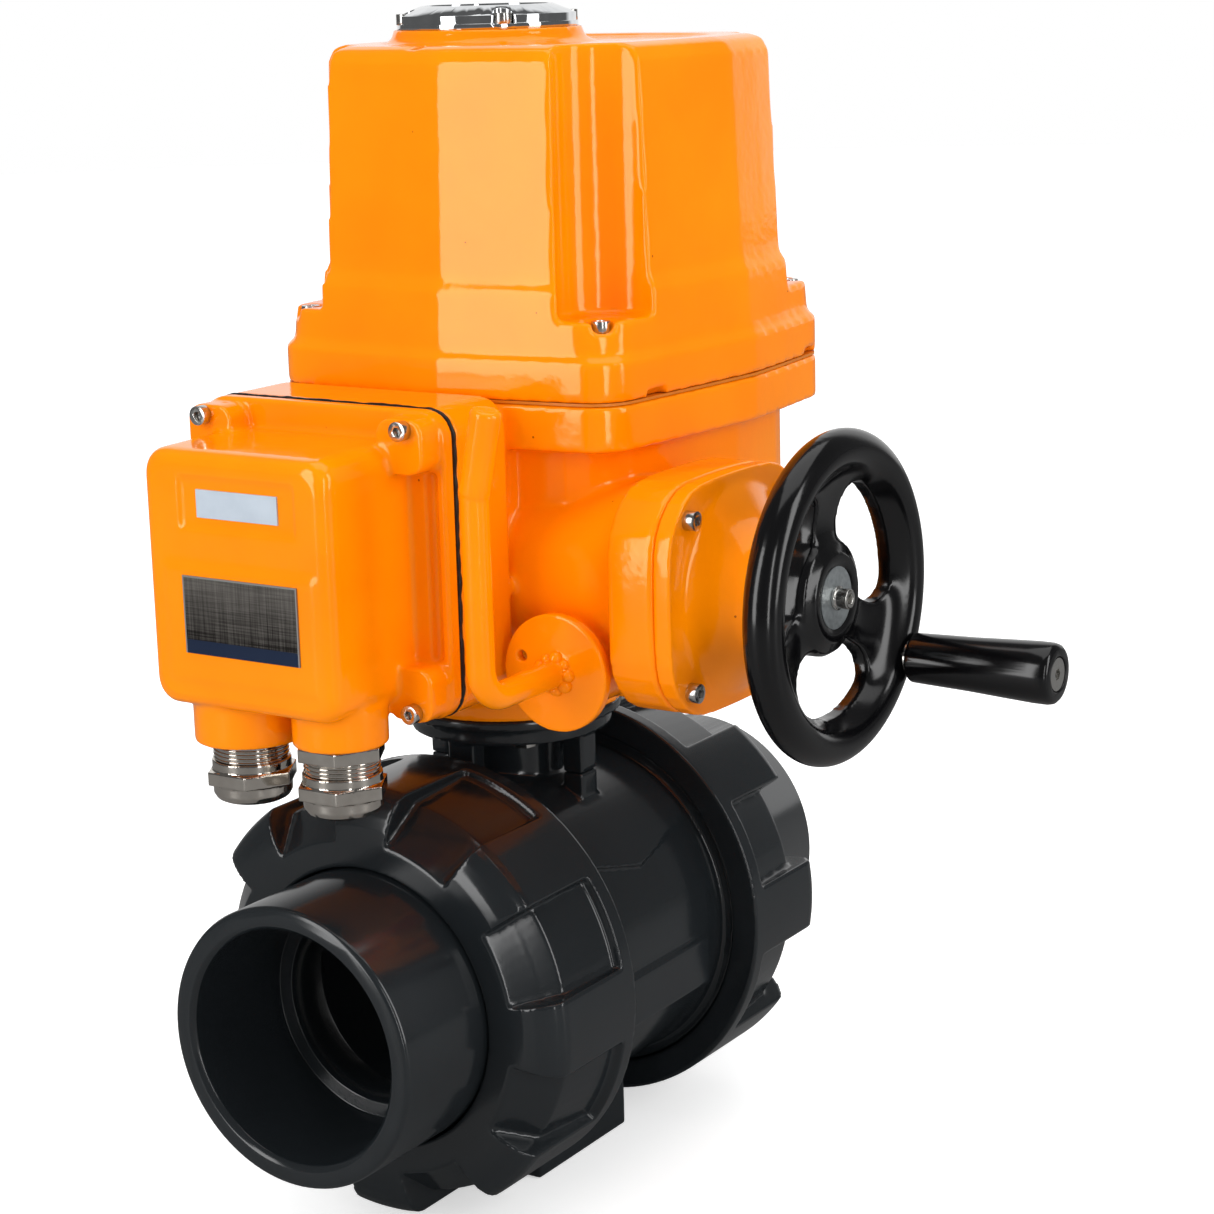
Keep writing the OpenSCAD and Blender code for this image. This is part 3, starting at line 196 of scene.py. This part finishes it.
enamel, tree, shader = new_material("orange_enamel", Roughness=0.1, IOR=1.5, Specular_Tint=srgb("#ffffd0"))
place = object_place(tree)
tone = ramp(tree, noise(tree, place, 45, 3.0), "#fd8500", "#ff8e02", 0.3, 0.7)
holes = add_node(tree, "ShaderNodeTexVoronoi", {"Vector": place, "Scale": per_mm(PINHOLE_PITCH_MM)})
pin = maths(tree, "LESS_THAN", holes.outputs["Distance"], PINHOLE_SIZE)
peel = noise(tree, place, 3.2, 1.0)
wave = noise(tree, place, 16)
height = maths(tree, "MULTIPLY_ADD", wave, WAVE_TO_PEEL, peel)
drive(tree, shader, Base_Color=blend(tree, pin, tone, srgb("#a84c00")), Normal=bump(tree, height, 0.5, 0.1))
print("made", enamel.name)

# %% [markdown]
# ## Moulded plastics
# The valve is grey-black UPVC, injection moulded: an even dark grey with a soft semi-gloss skin, cloudy
# where the melt flowed. The handwheel and grip are polished black phenolic, almost a mirror.

# %% UPVC and phenolic
PLASTIC_ROUGHNESS = (0.13, 0.18)

upvc, tree, shader = new_material("moulded_upvc", IOR=1.53)
place = object_place(tree)
cloud = noise(tree, place, 38, 4.0)
drive(tree, shader, Base_Color=ramp(tree, cloud, "#171a1c", "#1e2225"),
      Roughness=remap(tree, cloud, *PLASTIC_ROUGHNESS), Normal=bump(tree, noise(tree, place, 1.6), 0.25, 0.02))

phenolic, tree, shader = new_material("polished_phenolic", IOR=1.5)
cloud = noise(tree, object_place(tree), 20, 3.0)
drive(tree, shader, Base_Color=ramp(tree, cloud, "#040405", "#08080a"),
      Roughness=remap(tree, cloud, *PLASTIC_ROUGHNESS))
print("made", upvc.name, "and", phenolic.name)

# %% [markdown]
# ## Metals
# A metal is its reflection, tinted. What tells one from another is the tint and the marks that making it
# left: fine scratches on turned stainless screws, a smooth warm plating on the glands, chrome like a
# mirror, and dull blue-grey zinc. One recipe makes them all, with its own colours and scratch size.

# %% Metals
GRAIN_STRENGTH = 0.3


def metal(name, dark, light, rough, scratch_mm, depth_mm):
    made, tree, shader = new_material(name, Metallic=1.0)
    grain = noise(tree, object_place(tree), scratch_mm, 4.0)
    drive(tree, shader, Base_Color=ramp(tree, grain, dark, light, 0.25, 0.75),
          Roughness=remap(tree, grain, rough * 0.7, rough * 1.3),
          Normal=bump(tree, grain, GRAIN_STRENGTH, depth_mm))
    return made


stainless = metal("turned_stainless", "#bdbbb7", "#d2d1cd", 0.2, 0.9, 0.008)
nickel = metal("nickel_plated_brass", "#c6bfb6", "#d6d0c7", 0.09, 5.0, 0.006)
chrome = metal("polished_chrome", "#cfd2d4", "#e4e6e8", 0.05, 6.0, 0.002)
zinc = metal("zinc_plate", "#b4bbbe", "#d0d6d8", 0.42, 1.4, 0.015)
ground = metal("ground_steel", "#8e9092", "#b2b4b6", 0.28, 1.0, 0.01)
bronze = metal("cast_bronze", "#9a7440", "#bf9455", 0.35, 1.2, 0.015)
print("made six metals")

# %% [markdown]
# ## Small finishes
# Rubber gaskets are dull and faintly dusty. The parts shut up inside the cover still get their own
# finish: circuit board green, motor paint, nylon and the like, each with a little unevenness.

# %% Small finishes
def moulding(name, dark, light, rough, grain_mm, depth_mm):
    made, tree, shader = new_material(name, Roughness=rough, IOR=1.5)
    grain = noise(tree, object_place(tree), grain_mm, 3.0)
    drive(tree, shader, Base_Color=ramp(tree, grain, dark, light),
          Normal=bump(tree, grain, GRAIN_STRENGTH, depth_mm))
    return made


painted_seam = moulding("painted_over_gasket", "#b86408", "#d87c0a", 0.35, 4.0, 0.03)
rubber = moulding("black_rubber", "#0d0d0d", "#1a1a1a", 0.62, 1.5, 0.03)
sealant = moulding("black_sealant", "#080605", "#15100c", 0.34, 2.0, 0.05)
ptfe = moulding("white_ptfe", "#dedbd2", "#eae8e0", 0.45, 6.0, 0.01)
nylon = moulding("cream_nylon", "#cfcbbb", "#dcd9cb", 0.5, 4.0, 0.01)
motor_paint = moulding("satin_motor_paint", "#17181a", "#232528", 0.42, 3.0, 0.02)
solder_mask = moulding("green_solder_mask", "#0c3f22", "#12502c", 0.3, 5.0, 0.01)
can = moulding("capacitor_sleeve", "#b4b7bb", "#c6c9cc", 0.35, 8.0, 0.01)
switch_black = moulding("switch_housing", "#121212", "#1d1d1d", 0.5, 2.0, 0.02)
pale_foil = moulding("pale_name_foil", "#a9b4c0", "#c2ccd6", 0.3, 9.0, 0.004)
print("made the small finishes")

# %% [markdown]
# ## Castings and mouldings
# CAD edges are knife sharp, and nothing cast or moulded is. A bevel would have to find every edge of a
# mesh of loose triangles. Filling the copy with small voxels is surer: it gives an even skin, and easing
# that skin rounds its edges. Hollow corners are eased longer than proud edges, because a casting has
# large fillets inside and small ones outside. The skin is then thinned where it is flat.

# %% Skin a node with soft edges
MERGE_MM = 0.002
FRESH_NORMALS_EVERY = 6


def merged_copy(node):
    made = bpy.data.objects.new("shown_" + node, nodes[node].data.copy())
    bpy.context.scene.collection.objects.link(made)
    bm = bmesh.new()
    bm.from_mesh(made.data)
    bmesh.ops.remove_doubles(bm, verts=bm.verts, dist=MERGE_MM * MM)
    bm.to_mesh(made.data)
    bm.free()
    return made


def apply_modifiers(obj):
    bpy.context.view_layer.update()
    done = bpy.data.meshes.new_from_object(obj.evaluated_get(bpy.context.evaluated_depsgraph_get()))
    obj.modifiers.clear()
    old, obj.data = obj.data, done
    bpy.data.meshes.remove(old)


def paint(made, material):
    made.data.materials.clear()
    made.data.materials.append(material)
    made.data.shade_smooth()


def ease(mesh, proud, hollow):
    """Moves each point towards its neighbours' middle: everywhere for some passes, in hollows for more."""
    count = len(mesh.vertices)
    points = np.empty(count * 3)
    mesh.vertices.foreach_get("co", points)
    points = points.reshape(-1, 3)
    ends = np.empty(len(mesh.edges) * 2, np.int32)
    mesh.edges.foreach_get("vertices", ends)
    a, b = ends[0::2], ends[1::2]
    degree = np.maximum(np.bincount(ends, minlength=count), 1)[:, None]
    normals = np.empty(count * 3)
    for step in range(max(proud, hollow)):
        if step % FRESH_NORMALS_EVERY == 0:
            mesh.vertices.foreach_set("co", points.ravel())
            mesh.update()
            mesh.vertex_normals.foreach_get("vector", normals)
            outward = normals.reshape(-1, 3)
        total = [np.bincount(a, points[b, k], count) + np.bincount(b, points[a, k], count) for k in range(3)]
        pull = np.stack(total, 1) / degree - points
        if step >= proud:
            pull[(pull * outward).sum(1) <= 0] = 0
        points += 0.5 * pull
    mesh.vertices.foreach_set("co", points.ravel())
    mesh.update()


def skin(node, material, voxel_mm, proud, hollow, faces):
    made = merged_copy(node)
    voxels = made.modifiers.new("Voxels", "REMESH")
    voxels.mode = "VOXEL"
    voxels.voxel_size = voxel_mm * MM
    apply_modifiers(made)
    ease(made.data, proud, hollow)
    full = sum(len(p.vertices) - 2 for p in made.data.polygons)
    thin = made.modifiers.new("Thin", "DECIMATE")
    thin.ratio = min(1.0, faces / full)
    apply_modifiers(made)
    paint(made, material)
    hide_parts(node)
    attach(made, nodes[node]["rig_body"])
    print(node, full, "->", len(made.data.polygons), "faces")


# %% [markdown]
# The numbers after each name: the voxel in millimetres, the passes everywhere, the passes in hollows and
# the triangles that are kept. The orange castings take the largest fillets.

# %% Orange castings
skin("gear_housing", enamel, 1.1, 3, 12, 180000)
skin("top_cover", enamel, 1.0, 6, 12, 140000)
skin("terminal_cover", enamel, 0.8, 4, 14, 100000)
skin("gearbox_cover", enamel, 0.7, 3, 20, 60000)
skin("clutch_lever", enamel, 0.5, 3, 10, 40000)

# %% [markdown]
# Moulded plastic keeps crisper edges than a casting, about a millimetre. The handwheel is the exception:
# its spokes flow into hub and rim, which many passes in the hollows give.

# %% Moulded plastic pieces
skin("valve_body", upvc, 0.8, 4, 12, 150000)
skin("union_nut_front", upvc, 0.8, 2, 8, 120000)
skin("union_nut_rear", upvc, 0.8, 2, 8, 120000)
skin("mounting_bracket", upvc, 0.8, 3, 8, 40000)
skin("handwheel", phenolic, 0.8, 4, 160, 90000)

# %% [markdown]
# Turned and pressed pieces are right as CAD drew them. A merged copy with smooth shading, broken only at
# real edges, takes away the facets that loose triangles would show. Some edges get a small bevel.

# %% Turned, pressed and hidden pieces
FLAT_ANGLE, BEVEL_ANGLE, SHARP_ANGLE = (math.radians(a) for a in (0.6, 40, 35))
BEVEL_STEPS = 2


def polish(node, material, edge_mm=0.0):
    made = merged_copy(node)
    bm = bmesh.new()
    bm.from_mesh(made.data)
    bmesh.ops.dissolve_limit(bm, angle_limit=FLAT_ANGLE, verts=bm.verts, edges=bm.edges)
    bm.to_mesh(made.data)
    bm.free()
    if edge_mm:
        edge = made.modifiers.new("Edge", "BEVEL")
        edge.width, edge.segments = edge_mm * MM, BEVEL_STEPS
        edge.limit_method, edge.angle_limit = "ANGLE", BEVEL_ANGLE
        apply_modifiers(made)
    paint(made, material)
    made.data.set_sharp_from_angle(angle=SHARP_ANGLE)
    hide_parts(node)
    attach(made, nodes[node]["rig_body"])


FINISHES = {
    upvc: ["seat_carrier", "ball", "valve_stem", "end_connector_front", "end_connector_rear"],
    phenolic: ["handle_grip"],
    ptfe: ["ball_seats"],
    painted_seam: ["housing_gasket"],
    rubber: ["connector_o_rings", "stem_seals", "terminal_gasket", "gland_seals", "shaft_seal"],
    stainless: ["bracket_screws", "flange_bolts", "inner_screws", "handwheel_bolt", "grip_spindle",
                "cover_screws", "bezel_screws", "terminal_cover_screws", "gearbox_cover_screws"],
    ground: ["worm_bearing_inner", "worm_bearing_outer", "output_bearings", "output_shaft", "worm_shaft",
             "worm_gear", "motor_rotor", "clutch_sleeve", "lever_shaft", "stem_coupling"],
    bronze: ["worm_wheel", "lever_bush"],
    zinc: ["handwheel_washer", "chassis_plate", "bearing_plate"],
    chrome: ["indicator_bezel"],
    nylon: ["terminal_block", "limit_cams"],
    motor_paint: ["motor_case"],
    solder_mask: ["control_board"],
    can: ["capacitor"],
    switch_black: ["limit_switches"],
    pale_foil: ["name_plate"],
}
BEVELS_MM = {
    "indicator_bezel": 0.4, "cover_screws": 0.3, "bezel_screws": 0.2, "terminal_cover_screws": 0.25,
    "gearbox_cover_screws": 0.25, "flange_bolts": 0.3, "handwheel_bolt": 0.4, "handle_grip": 0.3,
    "end_connector_front": 0.5, "end_connector_rear": 0.5,
}
for finish, names in FINISHES.items():
    for name in names:
        polish(name, finish, BEVELS_MM.get(name, 0.0))
print("polished", sum(map(len, FINISHES.values())), "pieces")

# %% [markdown]
# ## Cable glands
# The glands are hexagon brass under bright nickel. Plated edges are rounded by about half a millimetre,
# too little for a coarse skin, so their voxels are small.

# %% Gland bodies and nuts
skin("gland_bodies", nickel, 0.35, 2, 2, 60000)
skin("gland_nuts", nickel, 0.35, 2, 2, 60000)

# %% [markdown]
# ## Pieces that repeat or follow a path
# A thread is a ridge that follows a helix, squeezed-out sealant follows the seam of the box, and a weld
# is a row of overlapping drops. Each is a rule, so each is a small Geometry Nodes tree with its sizes as
# inputs. The helper below gives a tree its inputs, runs it once and keeps the result as a plain mesh.

# %% Grow a piece from a geometry tree
KINDS = {float: "NodeSocketFloat", int: "NodeSocketInt", tuple: "NodeSocketVector"}
STAND_UP = (math.pi / 2, 0, 0)
TUBE_SIDES = 8


def grow(name, sizes, finish, body, build):
    tree = bpy.data.node_groups.new(name, "GeometryNodeTree")
    for label, value in sizes.items():
        tree.interface.new_socket(label, in_out="INPUT", socket_type=KINDS[type(value)])
    tree.interface.new_socket("Geometry", in_out="OUTPUT", socket_type="NodeSocketGeometry")
    ends = add_node(tree, "NodeGroupInput")
    shape = build(tree, ends.outputs)
    real = add_node(tree, "GeometryNodeRealizeInstances", {"Geometry": shape})
    smooth = add_node(tree, "GeometryNodeSetShadeSmooth", {"Geometry": real.outputs[0]})
    painted = add_node(tree, "GeometryNodeSetMaterial", {"Geometry": smooth.outputs[0], "Material": finish})
    add_node(tree, "NodeGroupOutput", {"Geometry": painted.outputs[0]})
    made = bpy.data.objects.new(name, bpy.data.meshes.new(name))
    bpy.context.scene.collection.objects.link(made)
    rule = made.modifiers.new("Rule", "NODES")
    rule.node_group = tree
    for item in tree.interface.items_tree:
        if item.in_out == "INPUT":
            rule[item.identifier] = sizes[item.name]
    apply_modifiers(made)
    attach(made, body)
    print(name, len(made.data.polygons), "faces")


# %% [markdown]
# The thread between box and hexagon: a spiral that keeps its radius, with a small round profile run along
# it. Two of them stand one gland pitch apart.

# %% Gland threads
GLAND = {"x": 20.75 * MM, "y": -136.5 * MM, "z": 196.6 * MM}


def helix_ridges(tree, size):
    spiral = add_node(tree, "GeometryNodeCurveSpiral", {
        "Resolution": 40, "Rotations": size["Turns"], "Height": size["Height"],
        "Start Radius": size["Radius"], "End Radius": size["Radius"]})
    crest = add_node(tree, "GeometryNodeCurvePrimitiveCircle",
                     {"Resolution": TUBE_SIDES, "Radius": size["Crest"]})
    ridge = add_node(tree, "GeometryNodeCurveToMesh",
                     {"Curve": spiral.outputs[0], "Profile Curve": crest.outputs[0]})
    pair = add_node(tree, "GeometryNodeMeshLine",
                    {"Count": 2, "Start Location": size["First"], "Offset": size["Step"]})
    return add_node(tree, "GeometryNodeInstanceOnPoints",
                    {"Points": pair.outputs[0], "Instance": ridge.outputs[0]}).outputs[0]


thread = {
    "Turns": 4.6, "Radius": 13.3 * MM, "Height": 6.7 * MM, "Crest": 0.55 * MM,
    "First": (-GLAND["x"], GLAND["y"], GLAND["z"]), "Step": (2 * GLAND["x"], 0.0, 0.0),
}
grow("gland_threads", thread, nickel, nodes["gland_bodies"]["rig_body"], helix_ridges)

# %% [markdown]
# The box was closed on wet sealant, which came out of the seam and set in an uneven black bead. The path
# is the gasket's own outline. Noise moves it in and out and makes it thick and thin.

# %% Sealant bead round the terminal box
BEAD_POINTS, LUMP_MM = 420, 9
BEAD_INSET = 0.6 * MM


def uneven_bead(tree, size):
    path = add_node(tree, "GeometryNodeCurvePrimitiveQuadrilateral",
                    {"Width": size["Width"], "Height": size["Height"]})
    path = add_node(tree, "GeometryNodeFilletCurve",
                    {"Curve": path.outputs[0], "Count": 8, "Radius": size["Corner"]}, mode="POLY")
    path = add_node(tree, "GeometryNodeResampleCurve", {"Curve": path.outputs[0], "Count": BEAD_POINTS})
    spot = add_node(tree, "GeometryNodeInputPosition").outputs[0]
    lumps = add_node(tree, "ShaderNodeTexNoise", {"Vector": spot, "Scale": per_mm(LUMP_MM), "Detail": 2.0})
    thick = remap(tree, lumps.outputs["Fac"], size["Thin"], size["Thick"], 0.3, 0.7)
    path = add_node(tree, "GeometryNodeSetCurveRadius", {"Curve": path.outputs[0], "Radius": thick})
    sway = add_node(tree, "ShaderNodeVectorMath", {0: lumps.outputs["Color"], 1: (0.5, 0.5, 0.5)},
                    operation="SUBTRACT")
    sway = add_node(tree, "ShaderNodeVectorMath", {0: sway.outputs[0], "Scale": size["Sway"]},
                    operation="SCALE")
    path = add_node(tree, "GeometryNodeSetPosition", {"Geometry": path.outputs[0], "Offset": sway.outputs[0]})
    section = add_node(tree, "GeometryNodeCurvePrimitiveCircle", {"Resolution": TUBE_SIDES, "Radius": 1.0})
    tube = add_node(tree, "GeometryNodeCurveToMesh",
                    {"Curve": path.outputs[0], "Profile Curve": section.outputs[0], "Scale": thick})
    return add_node(tree, "GeometryNodeTransform", {"Geometry": tube.outputs[0], "Rotation": STAND_UP,
                                                    "Translation": size["Centre"]}).outputs[0]


low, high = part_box("terminal_gasket")
bead = {
    "Width": high.x - low.x - BEAD_INSET, "Height": high.z - low.z - BEAD_INSET, "Corner": 10 * MM,
    "Thin": 0.7 * MM, "Thick": 1.25 * MM, "Sway": 1.0 * MM, "Centre": tuple((low + high) / 2),
}
grow("seam_sealant", bead, sealant, nodes["terminal_gasket"]["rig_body"], uneven_bead)

# %% [markdown]
# The lever's bar is welded to its disc, and the weld was painted over: drops of slightly different size
# in a ring round the foot of the bar.

# %% Weld round the lever's foot
DROP_SEED = 4
LEVER_FOOT = (78.5 * MM, -85.6 * MM, 226.6 * MM)


def ring_of_drops(tree, size):
    ring = add_node(tree, "GeometryNodeMeshCircle", {"Vertices": size["Drops"], "Radius": size["Ring"]})
    drop = add_node(tree, "GeometryNodeMeshIcoSphere", {"Radius": size["Drop"], "Subdivisions": 3})
    spread = add_node(tree, "FunctionNodeRandomValue", {"Seed": DROP_SEED, 2: 0.8, 3: 1.2}, data_type="FLOAT")
    laid = add_node(tree, "GeometryNodeInstanceOnPoints", {
        "Points": ring.outputs[0], "Instance": drop.outputs[0], "Scale": spread.outputs[1]})
    return add_node(tree, "GeometryNodeTransform", {"Geometry": laid.outputs[0], "Rotation": STAND_UP,
                                                    "Translation": size["Centre"]}).outputs[0]


weld = {"Drops": 9, "Ring": 5.9 * MM, "Drop": 2.4 * MM, "Centre": LEVER_FOOT}
grow("lever_weld", weld, enamel, nodes["clutch_lever"]["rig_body"], ring_of_drops)

# %% [markdown]
# ## Plates, dial and window
# The rating plate is dark brushed foil with a navy band along its foot, and a painted reflection lightens
# it towards the top. The dial under the window is a white disc with a plain red and green sector. The
# window itself is clear acrylic.

# %% Rating plate
BAND, PLATE_RIM = 5 * MM, 0.6 * MM
STROKES = ((1, 1, 40), (40, 1, 1))

rating_foil, tree, shader = new_material("dark_rating_foil", Metallic=0.7)
place = object_place(tree)
split = add_node(tree, "ShaderNodeSeparateXYZ", {0: place}).outputs
hatch = []
for stretch in STROKES:
    drawn = add_node(tree, "ShaderNodeMapping", {"Vector": place, "Scale": stretch})
    hatch.append(noise(tree, drawn.outputs[0], 22, 5.0))
brush = maths(tree, "MULTIPLY", *hatch)
low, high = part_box("rating_plate")
# Painted reflection: the foil's colour grows lighter from just above the band to the top edge.
painted_reflection_fade = remap(tree, split["Z"], -0.12, 0.18, low.z + BAND + 1 * MM, high.z)
tone = ramp(tree, maths(tree, "ADD", brush, painted_reflection_fade), "#171310", "#6d6964", 0.08, 0.5)
band = maths(tree, "LESS_THAN", split["Z"], low.z + BAND)
colour = blend(tree, band, tone, srgb("#1d2b45"))
across = maths(tree, "ABSOLUTE", maths(tree, "SUBTRACT", split["X"], (low.x + high.x) / 2))
side = maths(tree, "GREATER_THAN", across, (high.x - low.x) / 2 - PLATE_RIM)
head = maths(tree, "GREATER_THAN", split["Z"], high.z - PLATE_RIM)
rim = maths(tree, "MAXIMUM", side, head)
drive(tree, shader, Base_Color=blend(tree, rim, colour, srgb("#8e8e8c")),
      Roughness=remap(tree, brush, 0.3, 0.5, 0.1, 0.4))
polish("rating_plate", rating_foil)

# %% Dial and window
dial_print, tree, shader = new_material("printed_dial", Roughness=0.5)
split = add_node(tree, "ShaderNodeSeparateXYZ", {0: object_place(tree)}).outputs
side = maths(tree, "GREATER_THAN", split["X"], 0.0)
sector = blend(tree, side, srgb("#b3261e"), srgb("#1f8a3b"))
wedge = maths(tree, "GREATER_THAN", maths(tree, "ABSOLUTE", split["X"]), maths(tree, "ABSOLUTE", split["Y"]))
drive(tree, shader, Base_Color=blend(tree, wedge, srgb("#e8e6df"), sector))
polish("indicator_dial", dial_print)

acrylic, tree, shader = new_material("clear_acrylic", Roughness=0.03, IOR=1.49, Transmission_Weight=1.0)
haze = noise(tree, object_place(tree), 30)
drive(tree, shader, Base_Color=ramp(tree, haze, "#eef5f6", "#fbfdfd"))
polish("indicator_window", acrylic)

# %% [markdown]
# ## Studio
# The photograph has a white ground and large soft lamps in a dark room. To the camera and through glass the
# world is plain white. Glossy paint and metal see what stands in a studio: a white backdrop behind the
# object and a dim room on the camera's side. Everything else gets an even fill. The floor shows white to
# the camera too and keeps the object's shadow, while in reflections it is a dim grey.

# %% World
TO_BACKDROP, BACKDROP_EDGE = (-0.4, 0.92, 0.0), (0.70, 0.82)
ROOM, BACKDROP, FILL = 0.12, 0.95, 0.8
WHITE = (1, 1, 1, 1)

world = bpy.data.worlds.new("white_studio")
bpy.context.scene.world = world
world.use_nodes = True
tree = world.node_tree
ray = add_node(tree, "ShaderNodeLightPath").outputs
way = add_node(tree, "ShaderNodeTexCoord").outputs["Generated"]
behind = add_node(tree, "ShaderNodeVectorMath", {0: way, 1: TO_BACKDROP}, operation="DOT_PRODUCT")
room = remap(tree, behind.outputs["Value"], ROOM, BACKDROP, *BACKDROP_EDGE)
mirrored = add_node(tree, "ShaderNodeMix", {"Factor": ray["Is Glossy Ray"], 2: FILL, 3: room},
                    data_type="FLOAT").outputs[0]
clear = maths(tree, "MAXIMUM", ray["Is Camera Ray"], ray["Is Transmission Ray"])
shown = add_node(tree, "ShaderNodeMix", {"Factor": clear, 2: mirrored, 3: 1.0}, data_type="FLOAT").outputs[0]
background = tree.nodes["Background"]
background.inputs["Color"].default_value = WHITE
tree.links.new(shown, background.inputs["Strength"])
print("made", world.name)

# %% Floor
FLOOR_RADIUS, FLOOR_Z = 6, -0.0005
FLOOR_GLOW = 0.5

floor_white, tree, shader = new_material("white_floor", Roughness=0.6, Emission_Color=WHITE)
ray = add_node(tree, "ShaderNodeLightPath").outputs
dim = blend(tree, ray["Is Glossy Ray"], srgb("#c4c4c4"), srgb("#7c7c7c"))
drive(tree, shader, Base_Color=blend(tree, ray["Is Camera Ray"], dim, srgb("#f4f4f4")),
      Emission_Strength=maths(tree, "MULTIPLY", ray["Is Camera Ray"], FLOOR_GLOW))
bpy.ops.mesh.primitive_circle_add(vertices=96, radius=FLOOR_RADIUS, fill_type="NGON", location=(0, 0, FLOOR_Z))
floor = bpy.context.object
floor.name = "floor"
floor.data.materials.append(floor_white)
print("made", floor_white.name)


# %% Lamps
def softbox(name, place, aim_z, width, tall, watts):
    lamp = bpy.data.lights.new(name, "AREA")
    lamp.shape = "RECTANGLE"
    lamp.size, lamp.size_y, lamp.energy = width, tall, watts
    made = bpy.data.objects.new(name, lamp)
    bpy.context.scene.collection.objects.link(made)
    made.location = place
    made.rotation_euler = (Vector((0, 0, aim_z)) - Vector(place)).to_track_quat("-Z", "Y").to_euler()


softbox("key_left", (-0.57, -1.70, 0.75), 0.3, 0.62, 1.7, 16)
softbox("strip_right", (1.7, 0.2, 0.8), 0.3, 0.5, 1.5, 10)
softbox("strip_front", (1.45, -1.00, 0.45), 0.3, 0.22, 1.5, 6)
softbox("overhead", (0.2, 0.2, 1.9), 0.2, 1.6, 1.6, 10)
bpy.context.scene.view_settings.view_transform = "Standard"
print("studio ready")
